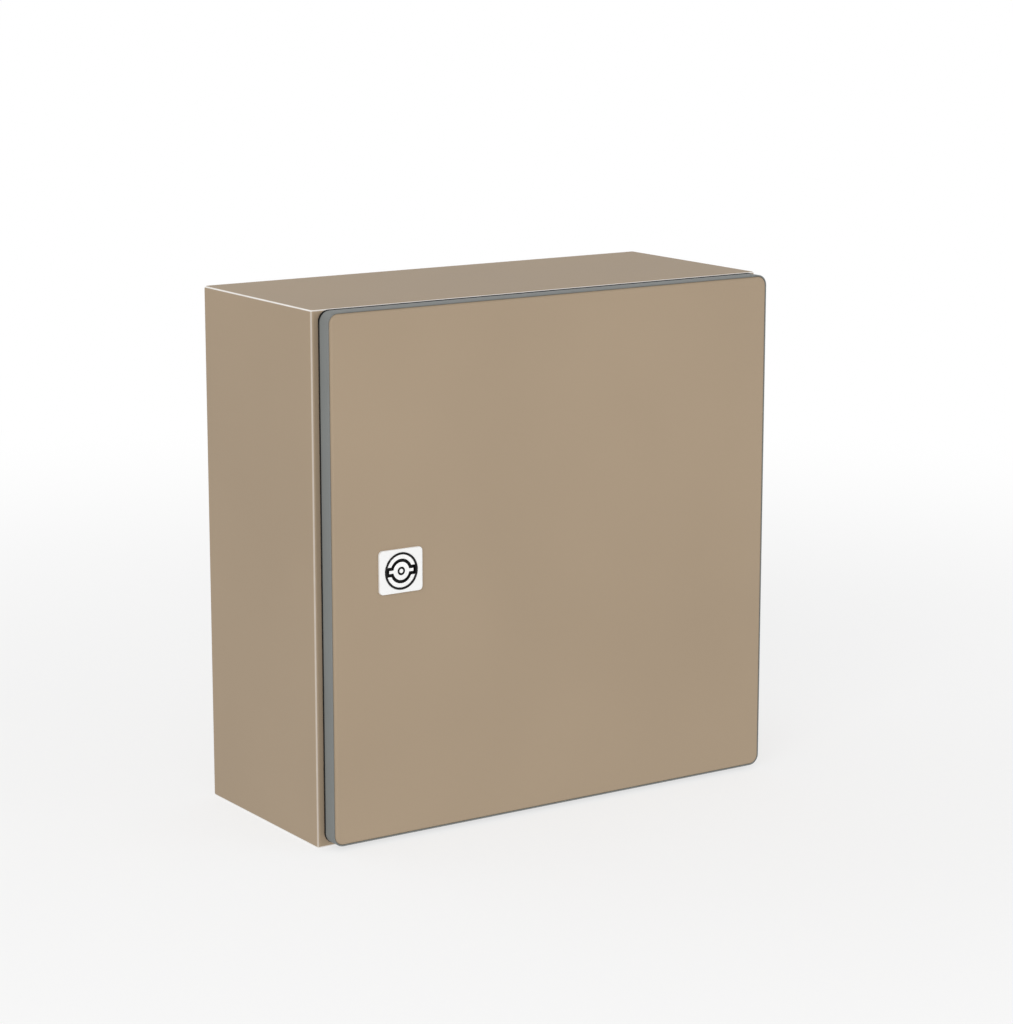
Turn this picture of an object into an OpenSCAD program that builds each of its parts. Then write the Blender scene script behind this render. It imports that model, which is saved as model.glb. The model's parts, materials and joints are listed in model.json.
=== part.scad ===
// Sheet-steel wall cabinet with a hinged door and a quarter-turn lock.
// The origin lies on the wall, in the middle of the fixing holes.
// +X points to the right, +Y into the wall and +Z up. The door faces -Y.

/* [Cabinet body] */
// Width of the cabinet
body_w = 500; // [380:1:800]
// Height of the cabinet
body_h = 500; // [400:1:1000]
// Depth from the wall to the front flange
body_d = 200; // [150:1:400]
// Thickness of the body and door sheet
sheet_t = 1.5; // [1:0.1:2]
// Outside radius of the folds in the sheet
fold_r = 3; // [2.5:0.1:4]
// Width of the flange round the front opening
flange_w = 28; // [26:0.5:45]
// Height of the rain lip in front of the flange
lip_h = 10; // [6:0.5:12]
// Corner radius of the front opening
opening_r = 12; // [9:1:30]

/* [Wall fixings and mounting plate] */
// Distance of the wall-fixing holes from the cabinet's sides
fixing_inset = 22; // [18:0.5:26]
// Diameter of the wall-fixing holes
fixing_d = 9; // [6:0.5:12]
// Distance of the mounting plate's edge from the cabinet's sides
plate_margin = 35; // [34:1:80]
// Thickness of the mounting plate
plate_t = 2; // [1.5:0.1:3]
// Depth of the plate's folded edges
plate_edge_d = 10; // [7:0.5:12]
// Height of the shoulders that hold the plate off the rear panel
standoff_h = 13; // [11:0.5:40]
// Diameter of those shoulders
standoff_d = 14; // [12:0.5:18]
// Thread diameter of the plate studs
plate_stud_d = 8; // [6:1:10]
// Distance of the studs from the plate's edges
plate_stud_inset = 20; // [15:1:60]

/* [Cable entry] */
// Width of the opening in the cabinet's bottom
gland_w = 200; // [120:1:280]
// Depth of that opening
gland_d = 80; // [50:1:100]
// Width of the seat round the opening
gland_rim = 15; // [13:0.5:22]
// Corner radius of the opening
gland_r = 6; // [3:0.5:15]
// Thickness of the gland plate
gland_plate_t = 2; // [1.5:0.1:4]
// Thickness of the gland plate's gasket
gland_gasket_t = 2; // [1:0.1:4]
// Thread diameter of the gland plate's studs
gland_stud_d = 5; // [4:0.5:6]

/* [Earthing] */
// Thread diameter of the cabinet's earth stud
earth_d = 8; // [6:1:10]
// Length of the cabinet's earth stud
earth_len = 22; // [18:1:30]
// Height of the earth stud above the cabinet's bottom
earth_rise = 55; // [35:1:120]
// Distance of the earth stud behind the flange
earth_back = 50; // [30:1:90]
// Thread diameter of the door's earth stud
door_earth_d = 6; // [4:1:8]
// Length of the door's earth stud
door_earth_len = 16; // [13:0.5:24]
// Distance of the door's earth stud from the rail beside it
door_earth_gap = 16; // [12:1:60]
// Height of the door's earth stud above the rail's end
door_earth_rise = 20; // [10:1:120]

/* [Door] */
// Distance from the flange to the door's front face
door_t = 20; // [19:0.5:28]
// Distance of the door's edge from the cabinet's left side
door_gap_left = 6.5; // [1:0.5:10]
// Distance of the door's edge from the cabinet's right side
door_gap_right = 0; // [0:0.1:2]
// Distance of the door's edge from the cabinet's top
door_gap_top = 1; // [0:0.5:6]
// Distance of the door's edge from the cabinet's bottom
door_gap_bottom = 4.5; // [1:0.5:8]
// Corner radius of the door sheet
door_corner_r = 9; // [6:0.5:20]
// Thickness of the grey edge trim outside the sheet
trim_t = 1.5; // [1:0.1:2.5]
// Thickness of the trim's leg inside the sheet
trim_leg_t = 1.2; // [0.8:0.1:1.6]
// Depth of the trim's leg inside the sheet
trim_leg_d = 6; // [4:0.5:9]
// Distance of the trim's front end behind the door's face
trim_front_gap = 1.5; // [0.5:0.1:3]
// Height of the sponge lip between trim and flange
sponge_h = 3.6; // [3:0.1:5]
// Setback of the sponge lip from the trim's outside
sponge_setback = 0.2; // [0.2:0.1:1.2]
// Width of the door gasket
gasket_w = 14; // [10:0.5:15]
// Edge radius of the door gasket
gasket_r = 3; // [1.5:0.1:4]

/* [Door rails] */
// Width of the perforated rails
rail_w = 16; // [12:0.5:22]
// Depth of the rails behind the door sheet
rail_d = 10; // [6:0.5:12]
// Gap between the rails and the gasket
rail_gap = 3; // [1:0.5:12]
// Gap between the rails' ends and the gasket
rail_end_gap = 24; // [6:1:60]
// Diameter of the holes in the rails
rail_hole_d = 4.5; // [3:0.1:6]
// Spacing of those holes
rail_pitch = 25; // [15:1:50]

/* [Hinges] */
// Distance of the hinges' middles from the cabinet's top and bottom
hinge_inset = 90; // [60:1:150]
// Length of a hinge
hinge_len = 60; // [56:1:90]
// Length of the knuckle on the door's leaf
hinge_door_len = 24; // [22:0.5:30]
// Outside diameter of the knuckles
knuckle_d = 9; // [8:0.1:12]
// Gap between the knuckles and the cabinet's side
knuckle_gap = 0.7; // [0.5:0.1:3]
// Diameter of the hinge pins
pin_d = 5; // [3:0.5:6]
// Thickness of the pins' heads
pin_head_t = 1.5; // [1:0.1:3]
// Thickness of the hinge leaves
leaf_t = 2; // [1.5:0.1:2.5]
// Inside radius of the leaves' bends
leaf_bend_r = 1; // [0.5:0.1:2]
// Thread diameter of the countersunk screws in the flange
leaf_screw_d = 4; // [3:0.5:4.5]
// Length of those screws
leaf_screw_len = 8; // [6:0.5:14]
// Thread diameter of the studs in the door
leaf_stud_d = 4; // [3:0.5:4.5]

/* [Lock] */
// Width of the white lock plate
lock_plate_w = 46; // [44:0.5:60]
// Height of the white lock plate
lock_plate_h = 41; // [40:0.5:60]
// Thickness of the white lock plate
lock_plate_t = 2.5; // [2:0.1:5]
// Corner radius of the white lock plate
lock_plate_r = 4; // [2:0.1:6]
// Edge radius of the white lock plate
lock_plate_edge_r = 0.8; // [0.3:0.1:1.4]
// Gap between the lock and the rail beside it
lock_rail_gap = 2.5; // [1:0.5:30]
// Height of the lock above the cabinet's middle
lock_rise = 7; // [-60:1:60]
// Diameter of the dark ring round the core
ring_d = 34.8; // [33:0.1:36]
// Width of the dark ring
ring_w = 2; // [1:0.1:2.5]
// Height of the ring above the lock plate
ring_proud = 0.4; // [0.1:0.1:2]
// Depth of the core's face behind the ring
core_recess = 0.4; // [0.1:0.1:1.5]
// Diameter of the key groove's round part
key_d = 23; // [19:0.1:25]
// Width of the key groove
key_groove_w = 3.1; // [1.5:0.1:3.2]
// Depth of the key groove
key_groove_depth = 4.2; // [2:0.1:4.4]
// Height of the key's two bits
key_bit_h = 2.8; // [2:0.1:5]
// Tip-to-tip width of the island inside the groove
key_island_w = 25.8; // [24:0.1:28]
// Diameter of the centre hole
key_hole_d = 8; // [6:0.1:9]
// Diameter of the centre pin
key_pin_d = 4; // [2.5:0.1:5]
// Thickness of the housing's floor
housing_floor_t = 1.8; // [1:0.1:3]
// Thickness of the housing's clamping flange
housing_flange_t = 3.5; // [3:0.1:6]
// Outside diameter of the housing's neck
neck_d = 20; // [17:0.5:26]
// Thickness of the seal behind the door sheet
lock_seal_t = 1; // [0.5:0.1:2]
// Thread diameter of the lock screws
lock_screw_d = 4; // [3:0.5:4.5]
// Diameter of the lock plate's screw bosses
lock_boss_d = 7; // [6:0.1:8]
// Distance of the bosses' centres from the plate's edges
lock_boss_inset = 4.7; // [4.2:0.1:5]
// Diameter of the core's spindle
spindle_d = 12; // [11.5:0.1:14]
// Width of the square that drives the cam
drive_w = 8; // [7:0.1:8]
// Diameter of the spindle's sealing ring section
o_ring_d = 1.8; // [1:0.1:2]
// Thickness of the cam
cam_t = 3; // [2:0.1:5]
// Width of the cam's arm
cam_w = 16; // [12:0.5:20]
// Diameter of the cam's round end
cam_hub_d = 22; // [18:0.5:30]
// Reach of the cam behind the flange
cam_overlap = 12; // [6:0.5:18]
// Gap between the cam and the flange
cam_gap = 0.8; // [0.4:0.1:3]
// Width of the bevel on the cam's leading edge
cam_bevel_w = 5; // [2:0.5:6]
// Thread diameter of the cam bolt
cam_bolt_d = 6; // [4:0.5:6]
// Length of the cam bolt
cam_bolt_len = 14; // [9:0.5:18]
// Thickness of the cam washer
cam_washer_t = 1.5; // [1:0.1:3]

/* [Clearances] */
// Gap between pieces that move past each other
run_gap = 0.3; // [0.2:0.05:0.6]
// Radial clearance of pins, spindles and pieces that are pushed on
slip = 0.05; // [0.02:0.01:0.1]
// Radial clearance of holes for fasteners and inserts
hole_gap = 0.4; // [0.2:0.1:0.8]
// Gap between fixed pieces that lie side by side
side_gap = 0.75; // [0.3:0.05:1.5]

/* [Hidden] */
$fn = 48;

// Overshoot of cutting shapes past the faces they cut
over = 1;
// Corner radius of the soft profiles' legs, as a share of their thickness
soft_round = 0.45;
// The two hinges lie above and below the middle
UPPER = 1;
LOWER = -1;
LEFT = -1;
RIGHT = 1;

// Colours
powder_coat = "#a89680";
trim_grey = "#7c7f7d";
dark_rubber = "#2a2a2a";
foam_grey = "#55585a";
lock_white = "#f2f2ef";
nickel = "#d9d9d4";
zinc = "#b9bcbf";
galvanised = "#a7acaf";
earth_brass = "#b08d46";

// Clear front opening between the rain lip's inner faces
opening_w = body_w - 2 * flange_w;
opening_h = body_h - 2 * flange_w;

// Mounting plate and its studs
plate_w = body_w - 2 * plate_margin;
plate_h = body_h - 2 * plate_margin;
plate_back = sheet_t + standoff_h;
plate_front = plate_back + plate_t;

// Gland plate: outline of the seat and the studs in the middle of its rim
gland_seat_w = gland_w + 2 * gland_rim;
gland_seat_d = gland_d + 2 * gland_rim;
gland_floor = -body_h / 2 + sheet_t;
gland_top = gland_floor + gland_gasket_t + gland_plate_t;

// Door: outline over the trim, outline of the sheet, and heights in front of the flange
door_w = body_w - door_gap_left - door_gap_right;
door_h = body_h - door_gap_top - door_gap_bottom;
pan_w = door_w - 2 * trim_t;
pan_h = door_h - 2 * trim_t;
door_in = door_t - sheet_t;
trim_back = run_gap + sponge_h;
return_back = trim_back + trim_t + slip;
trim_front = door_t - trim_front_gap;

// Gasket: it stands on the door and faces the rain lip
gasket_t = door_in - lip_h - run_gap;
gasket_mid = flange_w - sheet_t / 2;
gasket_inner = gasket_mid + gasket_w / 2;
gasket_outer = gasket_mid - gasket_w / 2;

// Rails beside the gasket
rail_x = body_w / 2 - gasket_inner - rail_gap - rail_w / 2;
rail_len = body_h - 2 * (gasket_inner + rail_end_gap);
rail_holes = floor((rail_len - rail_pitch) / rail_pitch);

// Hinge: the knuckles' axis, and distances from the cabinet's right side inwards
knuckle_x = knuckle_d / 2 + knuckle_gap;
knuckle_z = run_gap + leaf_t / 2;
leaf_outer_r = leaf_t + leaf_bend_r;
leaf_reach = flange_w - fold_r - side_gap;
leg_near = door_gap_right + trim_t + sheet_t + slip + trim_leg_t + slip;
leg_far = leg_near + leaf_t;
foot_near = leg_near + leaf_outer_r;
foot_far = gasket_outer - side_gap;
foot_mid = (foot_near + foot_far) / 2;
leaf_screw_x = (leg_far + leaf_reach) / 2;
leaf_screw_z = (hinge_len + hinge_door_len) / 4;
leaf_stud_z = hinge_door_len / 4;

// Lock: its place on the door and heights in front of the flange
lock_x = -rail_x + rail_w / 2 + lock_rail_gap + lock_plate_w / 2;
lock_plate_front = door_t + lock_plate_t;
ring_front = lock_plate_front + ring_proud;
ring_inner_r = ring_d / 2 - ring_w;
housing_front = door_in - lock_seal_t;
housing_back = housing_front - housing_flange_t;
core_r = ring_inner_r - slip;
core_front = ring_front - core_recess;
core_back = housing_back + housing_floor_t + run_gap;
cam_front = -sheet_t - cam_gap;
cam_back = cam_front - cam_t;
neck_back = cam_front + run_gap;
o_ring_z = (housing_back + neck_back) / 2;
cam_reach = lock_x + body_w / 2 - flange_w + cam_overlap;

// Across-flats width of a nut or bolt head for a thread
function across_flats(d) = 1.5 * d + 1;
// Outside diameter of a washer or nut flange for a thread
function flange_d(d) = 2.2 * d;
// Thickness of a nut's flange for a thread
function flange_t(d) = 0.18 * d;
// Height of a bolt's hexagon head for a thread
function bolt_head_h(d) = 0.66 * d;
// Length of a stud that carries a layer and its nut
function stud_len(d, layer) = layer + 1.7 * d;
// Thickness of an earth stud's contact collar for a thread
function collar_t(d) = d / 4;
// Across-corners width of a screw's hexagon socket for a thread
function socket_d(d) = 0.65 * d;

// Rectangle with round corners
module rounded_rect(w, h, r) {
    square([w - 2 * r, h], center = true);
    square([w, h - 2 * r], center = true);
    at_corners(w - 2 * r, h - 2 * r)
        circle(r);
}

// Repeats a shape at the corners of a rectangle
module at_corners(w, h) {
    for (x = [-w / 2, w / 2])
        for (y = [-h / 2, h / 2])
            translate([x, y])
                children();
}

// Quarter of a fold's section, in the corner where x and y are below the fold's centre
module fold_arc(r, t) {
    intersection() {
        difference() {
            circle(r);
            circle(r - t);
        }
        translate([-r, -r])
            square(r);
    }
}

// Section of a folded channel, with its legs ending at y = 0 and its web at y = -depth
module channel(w, depth, t, r) {
    difference() {
        rounded_rect(w, 2 * depth, r);
        rounded_rect(w - 2 * t, 2 * (depth - t), r - t);
        translate([-w / 2 - over, 0])
            square([w + 2 * over, depth + over]);
    }
}

// Carries a section round a rounded rectangle, its x pointing outwards and its y to the front
module sweep_rect(w, h, r) {
    for (turn = [0 : 3]) {
        across = turn % 2 == 0 ? w : h;
        along = turn % 2 == 0 ? h : w;
        rotate(90 * turn) {
            translate([across / 2, 0, 0])
                rotate([90, 0, 0])
                    linear_extrude(along - 2 * r, center = true)
                        children();
            translate([across / 2 - r, along / 2 - r, 0])
                rotate_extrude(angle = 90)
                    translate([r, 0])
                        children();
        }
    }
}

// Front frame: x to the right, y up and z forwards from the flange
module at_front() {
    translate([0, -body_d, 0])
        rotate([90, 0, 0])
            children();
}

// Front frame with its origin in the middle of the door
module at_door() {
    at_front()
        translate([(door_gap_left - door_gap_right) / 2, (door_gap_bottom - door_gap_top) / 2, 0])
            children();
}

// Front frame with its origin at a hinge's middle, on the line of the cabinet's right side
module at_hinge(side) {
    at_front()
        translate([body_w / 2, side * (body_h / 2 - hinge_inset), 0])
            children();
}

// Front frame with its origin on the lock's axis
module at_lock() {
    at_front()
        translate([lock_x, lock_rise, 0])
            children();
}

// Welded stud with a chamfered end, standing on z = 0
module weld_stud(d, length) {
    chamfer = d / 8;
    rotate_extrude()
        polygon([
            [0, 0], [d / 2, 0], [d / 2, length - chamfer], [d / 2 - chamfer, length], [0, length]
        ]);
}

// Hexagon with its upper corners chamfered, standing on z = 0
module hexagon(d, height) {
    chamfer_angle = 30;
    crown_r = 0.95 * across_flats(d) / 2;
    intersection() {
        cylinder(h = height, d = across_flats(d) / cos(30), $fn = 6);
        cylinder(h = height, r1 = crown_r + height / tan(chamfer_angle), r2 = crown_r);
    }
}

// Nut with a flange, standing on z = 0
module flange_nut(d) {
    difference() {
        union() {
            cylinder(h = flange_t(d), d = flange_d(d));
            hexagon(d, d);
        }
        translate([0, 0, -over])
            cylinder(h = d + 2 * over, r = d / 2 + slip);
    }
}

// Pan-head screw with a hexagon socket, its head on z = 0 and its shank below
module pan_screw(d, length) {
    head_h = 0.6 * d;
    head_d = 1.9 * d;
    top_d = 1.6 * d;
    difference() {
        union() {
            cylinder(h = head_h, d1 = head_d, d2 = top_d);
            translate([0, 0, -length])
                cylinder(h = length, d = d);
        }
        translate([0, 0, head_h / 3])
            cylinder(h = head_h, d = socket_d(d), $fn = 6);
    }
}

// Space of a countersunk screw whose head ends flush on z = 0
module countersunk(d, length, head_h) {
    translate([0, 0, -head_h])
        cylinder(h = head_h, d1 = d, d2 = 2 * d);
    translate([0, 0, -length])
        cylinder(h = length - head_h, d = d);
}

// Cabinet's outer block, or its hollow when it is shrunk by the sheet
module body_block(inset, rear) {
    w = body_w - 2 * inset;
    h = body_h - 2 * inset;
    d = body_d - inset;
    r = fold_r - inset;
    intersection() {
        translate([0, rear, 0])
            rotate([90, 0, 0])
                linear_extrude(d + rear)
                    rounded_rect(w, h, r);
        linear_extrude(h + over, center = true)
            rounded_rect(w, 2 * d, r);
        rotate([90, 0, 90])
            linear_extrude(w + over, center = true)
                rounded_rect(2 * d, h, r);
    }
}

// Section of the rain lip and the fold that joins it to the flange
module lip_section() {
    translate([fold_r, fold_r - sheet_t])
        fold_arc(fold_r, sheet_t);
    translate([0, fold_r - sheet_t])
        square([sheet_t, lip_h - fold_r + sheet_t]);
}

module body_shell() {
    color(powder_coat) {
        difference() {
            body_block(0, 0);
            body_block(sheet_t, over);
            at_front()
                linear_extrude(4 * sheet_t, center = true)
                    rounded_rect(opening_w + 2 * fold_r, opening_h + 2 * fold_r, opening_r + fold_r);
            translate([0, -body_d / 2, -body_h / 2])
                linear_extrude(4 * sheet_t, center = true)
                    rounded_rect(gland_w, gland_d, gland_r);
            for (side = [LOWER, UPPER])
                at_hinge(side)
                    at_leaf_screws()
                        cylinder(h = 2 * leaf_screw_len, r = leaf_screw_d / 2 + slip, center = true);
        }
        at_front()
            sweep_rect(opening_w, opening_h, opening_r)
                lip_section();
    }
}

module rear_panel() {
    color(powder_coat)
        rotate([90, 0, 0])
            linear_extrude(sheet_t)
                difference() {
                    rounded_rect(body_w - 2 * sheet_t, body_h - 2 * sheet_t, fold_r - sheet_t);
                    at_corners(body_w - 2 * fixing_inset, body_h - 2 * fixing_inset)
                        circle(d = fixing_d);
                }
}

// Places pieces on the mounting plate's studs, z pointing to the front
module at_plate_studs(height) {
    translate([0, -height, 0])
        rotate([90, 0, 0])
            at_corners(plate_w - 2 * plate_stud_inset, plate_h - 2 * plate_stud_inset)
                children();
}

module plate_studs() {
    color(zinc)
        at_plate_studs(sheet_t) {
            cylinder(h = standoff_h, d = standoff_d);
            weld_stud(plate_stud_d, stud_len(plate_stud_d, standoff_h + plate_t));
        }
}

module mounting_plate() {
    color(galvanised)
        difference() {
            translate([0, plate_edge_d - plate_front, 0])
                linear_extrude(plate_h, center = true)
                    channel(plate_w, plate_edge_d, plate_t, plate_t + leaf_bend_r);
            at_plate_studs(plate_back - over)
                cylinder(h = plate_t + 2 * over, r = plate_stud_d / 2 + hole_gap);
        }
}

module plate_nuts() {
    color(zinc)
        at_plate_studs(plate_front)
            flange_nut(plate_stud_d);
}

// Places pieces on the gland plate's studs, z pointing up
module at_gland_studs(height) {
    for (x = [-1, 0, 1])
        for (y = [-1, 1])
            translate([
                x * (gland_w + gland_rim) / 2, -body_d / 2 + y * (gland_d + gland_rim) / 2, height
            ])
                children();
}

// Flat layer of the gland plate's outline with its stud holes
module gland_layer(height, thickness) {
    difference() {
        translate([0, -body_d / 2, height])
            linear_extrude(thickness)
                rounded_rect(gland_seat_w, gland_seat_d, gland_r);
        at_gland_studs(height - over)
            cylinder(h = thickness + 2 * over, r = gland_stud_d / 2 + hole_gap);
    }
}

module gland_gasket() {
    color(foam_grey)
        difference() {
            gland_layer(gland_floor, gland_gasket_t);
            translate([0, -body_d / 2, gland_floor - over])
                linear_extrude(gland_gasket_t + 2 * over)
                    rounded_rect(gland_w, gland_d, gland_r);
        }
}

module gland_plate() {
    color(galvanised)
        gland_layer(gland_floor + gland_gasket_t, gland_plate_t);
}

module gland_studs() {
    color(zinc)
        at_gland_studs(gland_floor)
            weld_stud(gland_stud_d, stud_len(gland_stud_d, gland_gasket_t + gland_plate_t));
}

module gland_nuts() {
    color(zinc)
        at_gland_studs(gland_top)
            flange_nut(gland_stud_d);
}

// Earth stud's frame on the right wall, z pointing into the cabinet
module at_earth() {
    translate([body_w / 2 - sheet_t, earth_back - body_d, earth_rise - body_h / 2])
        rotate([0, -90, 0])
            children();
}

// Stud with a round contact collar
module earthing_stud(d, length) {
    cylinder(h = collar_t(d), d = flange_d(d));
    weld_stud(d, length);
}

module earth_stud() {
    color(earth_brass)
        at_earth()
            earthing_stud(earth_d, earth_len);
}

module earth_nut() {
    color(earth_brass)
        at_earth()
            translate([0, 0, collar_t(earth_d)])
                flange_nut(earth_d);
}

// Cylinder along a hinge's axis, centred on the hinge's middle
module on_hinge_axis(length, r) {
    translate([knuckle_x, 0, knuckle_z])
        rotate([90, 0, 0])
            cylinder(h = length, r = r, center = true);
}

// Places pieces at a frame leaf's two screws
module at_leaf_screws() {
    for (side = [LOWER, UPPER])
        translate([-leaf_screw_x, side * leaf_screw_z, leaf_t])
            children();
}

module hinge_frame_leaf(side) {
    notch_h = hinge_door_len + 2 * run_gap;
    notch_reach = leg_far + side_gap;
    color(zinc)
        at_hinge(side)
            difference() {
                union() {
                    translate([-leaf_reach, -hinge_len / 2, 0])
                        cube([leaf_reach + knuckle_x, hinge_len, leaf_t]);
                    on_hinge_axis(hinge_len, knuckle_d / 2);
                }
                translate([-notch_reach, -notch_h / 2, -knuckle_d])
                    cube([notch_reach + knuckle_x + knuckle_d, notch_h, 2 * knuckle_d]);
                on_hinge_axis(hinge_len + 2 * over, pin_d / 2 + slip);
                at_leaf_screws()
                    countersunk(leaf_screw_d + 2 * slip, leaf_screw_len, leaf_t);
            }
}

module hinge_frame_leaf_upper() {
    hinge_frame_leaf(UPPER);
}

module hinge_frame_leaf_lower() {
    hinge_frame_leaf(LOWER);
}

module hinge_frame_screws() {
    color(zinc)
        for (side = [LOWER, UPPER])
            at_hinge(side)
                at_leaf_screws()
                    difference() {
                        countersunk(leaf_screw_d, leaf_screw_len, leaf_t);
                        translate([0, 0, -leaf_t / 2])
                            cylinder(h = leaf_t, d = socket_d(leaf_screw_d), $fn = 6);
                    }
}

module hinge_pin(side) {
    head_r = (pin_d + knuckle_d) / 4;
    color(zinc)
        at_hinge(side) {
            on_hinge_axis(hinge_len + 2 * pin_head_t, pin_d / 2);
            translate([0, (hinge_len + pin_head_t) / 2, 0])
                on_hinge_axis(pin_head_t, head_r);
        }
}

module hinge_pin_upper() {
    hinge_pin(UPPER);
}

module hinge_pin_lower() {
    hinge_pin(LOWER);
}

// Section of the door's leaf: through the gap, forwards inside the trim, then along the door sheet
module door_leaf_section() {
    arm_end = leg_far - leaf_outer_r;
    translate([-arm_end, run_gap])
        square([arm_end + knuckle_x, leaf_t]);
    translate([-arm_end, run_gap + leaf_outer_r])
        fold_arc(leaf_outer_r, leaf_t);
    translate([-leg_far, run_gap + leaf_outer_r])
        square([leaf_t, door_in - run_gap - 2 * leaf_outer_r]);
    translate([-foot_near, door_in - leaf_outer_r])
        rotate(180)
            fold_arc(leaf_outer_r, leaf_t);
    translate([-foot_far, door_in - leaf_t])
        square([foot_far - foot_near, leaf_t]);
}

// Places pieces at a door leaf's two studs, z pointing back from the door sheet
module at_leaf_studs(height) {
    for (side = [LOWER, UPPER])
        translate([-foot_mid, side * leaf_stud_z, door_in - height])
            mirror([0, 0, 1])
                children();
}

module hinge_door_leaf(side) {
    color(zinc)
        at_hinge(side)
            difference() {
                union() {
                    rotate([90, 0, 0])
                        linear_extrude(hinge_door_len, center = true)
                            door_leaf_section();
                    on_hinge_axis(hinge_door_len, knuckle_d / 2);
                }
                on_hinge_axis(hinge_len, pin_d / 2 + slip);
                at_leaf_studs(-over)
                    cylinder(h = leaf_t + 2 * over, r = leaf_stud_d / 2 + hole_gap);
            }
}

module hinge_door_leaf_upper() {
    hinge_door_leaf(UPPER);
}

module hinge_door_leaf_lower() {
    hinge_door_leaf(LOWER);
}

module hinge_door_studs() {
    color(zinc)
        for (side = [LOWER, UPPER])
            at_hinge(side)
                at_leaf_studs(0)
                    weld_stud(leaf_stud_d, stud_len(leaf_stud_d, leaf_t));
}

module hinge_door_nuts() {
    color(zinc)
        for (side = [LOWER, UPPER])
            at_hinge(side)
                at_leaf_studs(leaf_t)
                    flange_nut(leaf_stud_d);
}

// Section of the door's folded return, its outside on x = 0
module pan_section() {
    translate([-fold_r, door_t - fold_r])
        rotate(180)
            fold_arc(fold_r, sheet_t);
    translate([-sheet_t, return_back])
        square([sheet_t, door_t - fold_r - return_back]);
}

// Places pieces at the lock plate's four bosses
module at_lock_bosses() {
    at_corners(lock_plate_w - 2 * lock_boss_inset, lock_plate_h - 2 * lock_boss_inset)
        children();
}

module door_panel() {
    color(powder_coat)
        difference() {
            at_door() {
                translate([0, 0, door_in])
                    linear_extrude(sheet_t)
                        rounded_rect(pan_w - 2 * fold_r, pan_h - 2 * fold_r, door_corner_r - fold_r);
                sweep_rect(pan_w, pan_h, door_corner_r)
                    pan_section();
            }
            at_lock()
                translate([0, 0, door_in - over])
                    linear_extrude(sheet_t + 2 * over) {
                        circle(ring_d / 2 + hole_gap);
                        at_lock_bosses()
                            circle(lock_boss_d / 2 + hole_gap);
                    }
        }
}

// Section of the edge trim: outer leg, web behind the sheet's edge, and inner leg
module trim_section() {
    leg_in = -sheet_t - slip - trim_leg_t;
    outer_h = trim_front - trim_back;
    outer_t = trim_t - slip;
    translate([slip + outer_t / 2, trim_back + outer_h / 2])
        rounded_rect(outer_t, outer_h, soft_round * outer_t);
    translate([(leg_in + trim_t) / 2, trim_back + trim_t / 2])
        rounded_rect(trim_t - leg_in, trim_t, soft_round * trim_t);
    translate([leg_in + trim_leg_t / 2, trim_back + trim_leg_d / 2])
        rounded_rect(trim_leg_t, trim_leg_d, soft_round * trim_leg_t);
}

module door_edge_trim() {
    color(trim_grey)
        at_door()
            sweep_rect(pan_w, pan_h, door_corner_r)
                trim_section();
}

// Section of the sponge lip behind the trim
module sponge_section() {
    sponge_out = trim_t - sponge_setback;
    sponge_w = sponge_out + sheet_t + slip + trim_leg_t;
    translate([sponge_out - sponge_w / 2, run_gap + sponge_h / 2])
        rounded_rect(sponge_w, sponge_h, sponge_h / 3);
}

module door_edge_lip() {
    gap_h = hinge_len + 2 * side_gap;
    color(dark_rubber)
        difference() {
            at_door()
                sweep_rect(pan_w, pan_h, door_corner_r)
                    sponge_section();
            for (side = [LOWER, UPPER])
                at_hinge(side)
                    translate([-leg_far - over, -gap_h / 2, -over])
                        cube([leg_far + trim_t + 2 * over, gap_h, trim_back + 2 * over]);
        }
}

// Section of the gasket's bead, flat on the door and rounded towards the rain lip
module gasket_section() {
    translate([-gasket_w / 2, gasket_r])
        square([gasket_w, gasket_t - gasket_r]);
    translate([gasket_r - gasket_w / 2, 0])
        square([gasket_w - 2 * gasket_r, gasket_r]);
    for (side = [LEFT, RIGHT])
        translate([side * (gasket_w / 2 - gasket_r), gasket_r])
            circle(gasket_r);
}

module door_gasket() {
    color(foam_grey)
        at_front()
            translate([0, 0, lip_h + run_gap])
                sweep_rect(opening_w + sheet_t, opening_h + sheet_t, opening_r + sheet_t / 2)
                    gasket_section();
}

module door_rail(side) {
    color(powder_coat)
        at_front()
            translate([side * rail_x, 0, door_in])
                difference() {
                    rotate([90, 0, 0])
                        linear_extrude(rail_len, center = true)
                            channel(rail_w, rail_d, sheet_t, fold_r);
                    for (i = [0 : rail_holes])
                        translate([0, (i - rail_holes / 2) * rail_pitch, -rail_d - over])
                            cylinder(h = sheet_t + 2 * over, d = rail_hole_d);
                }
}

module door_rail_left() {
    door_rail(LEFT);
}

module door_rail_right() {
    door_rail(RIGHT);
}

// Door earth stud's frame, z pointing back from the door sheet
module at_door_earth() {
    at_front()
        translate([
            rail_x - rail_w / 2 - door_earth_gap, door_earth_rise - rail_len / 2, door_in
        ])
            mirror([0, 0, 1])
                children();
}

module door_earth_stud() {
    color(earth_brass)
        at_door_earth()
            earthing_stud(door_earth_d, door_earth_len);
}

module door_earth_nut() {
    color(earth_brass)
        at_door_earth()
            translate([0, 0, collar_t(door_earth_d)])
                flange_nut(door_earth_d);
}

// Plate with round corners and a rounded front edge, standing on z = 0
module edged_plate(w, h, t, r, edge_r) {
    face_w = w - 2 * edge_r;
    face_h = h - 2 * edge_r;
    linear_extrude(t - edge_r)
        rounded_rect(w, h, r);
    linear_extrude(t)
        rounded_rect(face_w, face_h, r - edge_r);
    translate([0, 0, t - edge_r])
        sweep_rect(face_w, face_h, r - edge_r)
            intersection() {
                circle(edge_r);
                square(edge_r);
            }
}

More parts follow.
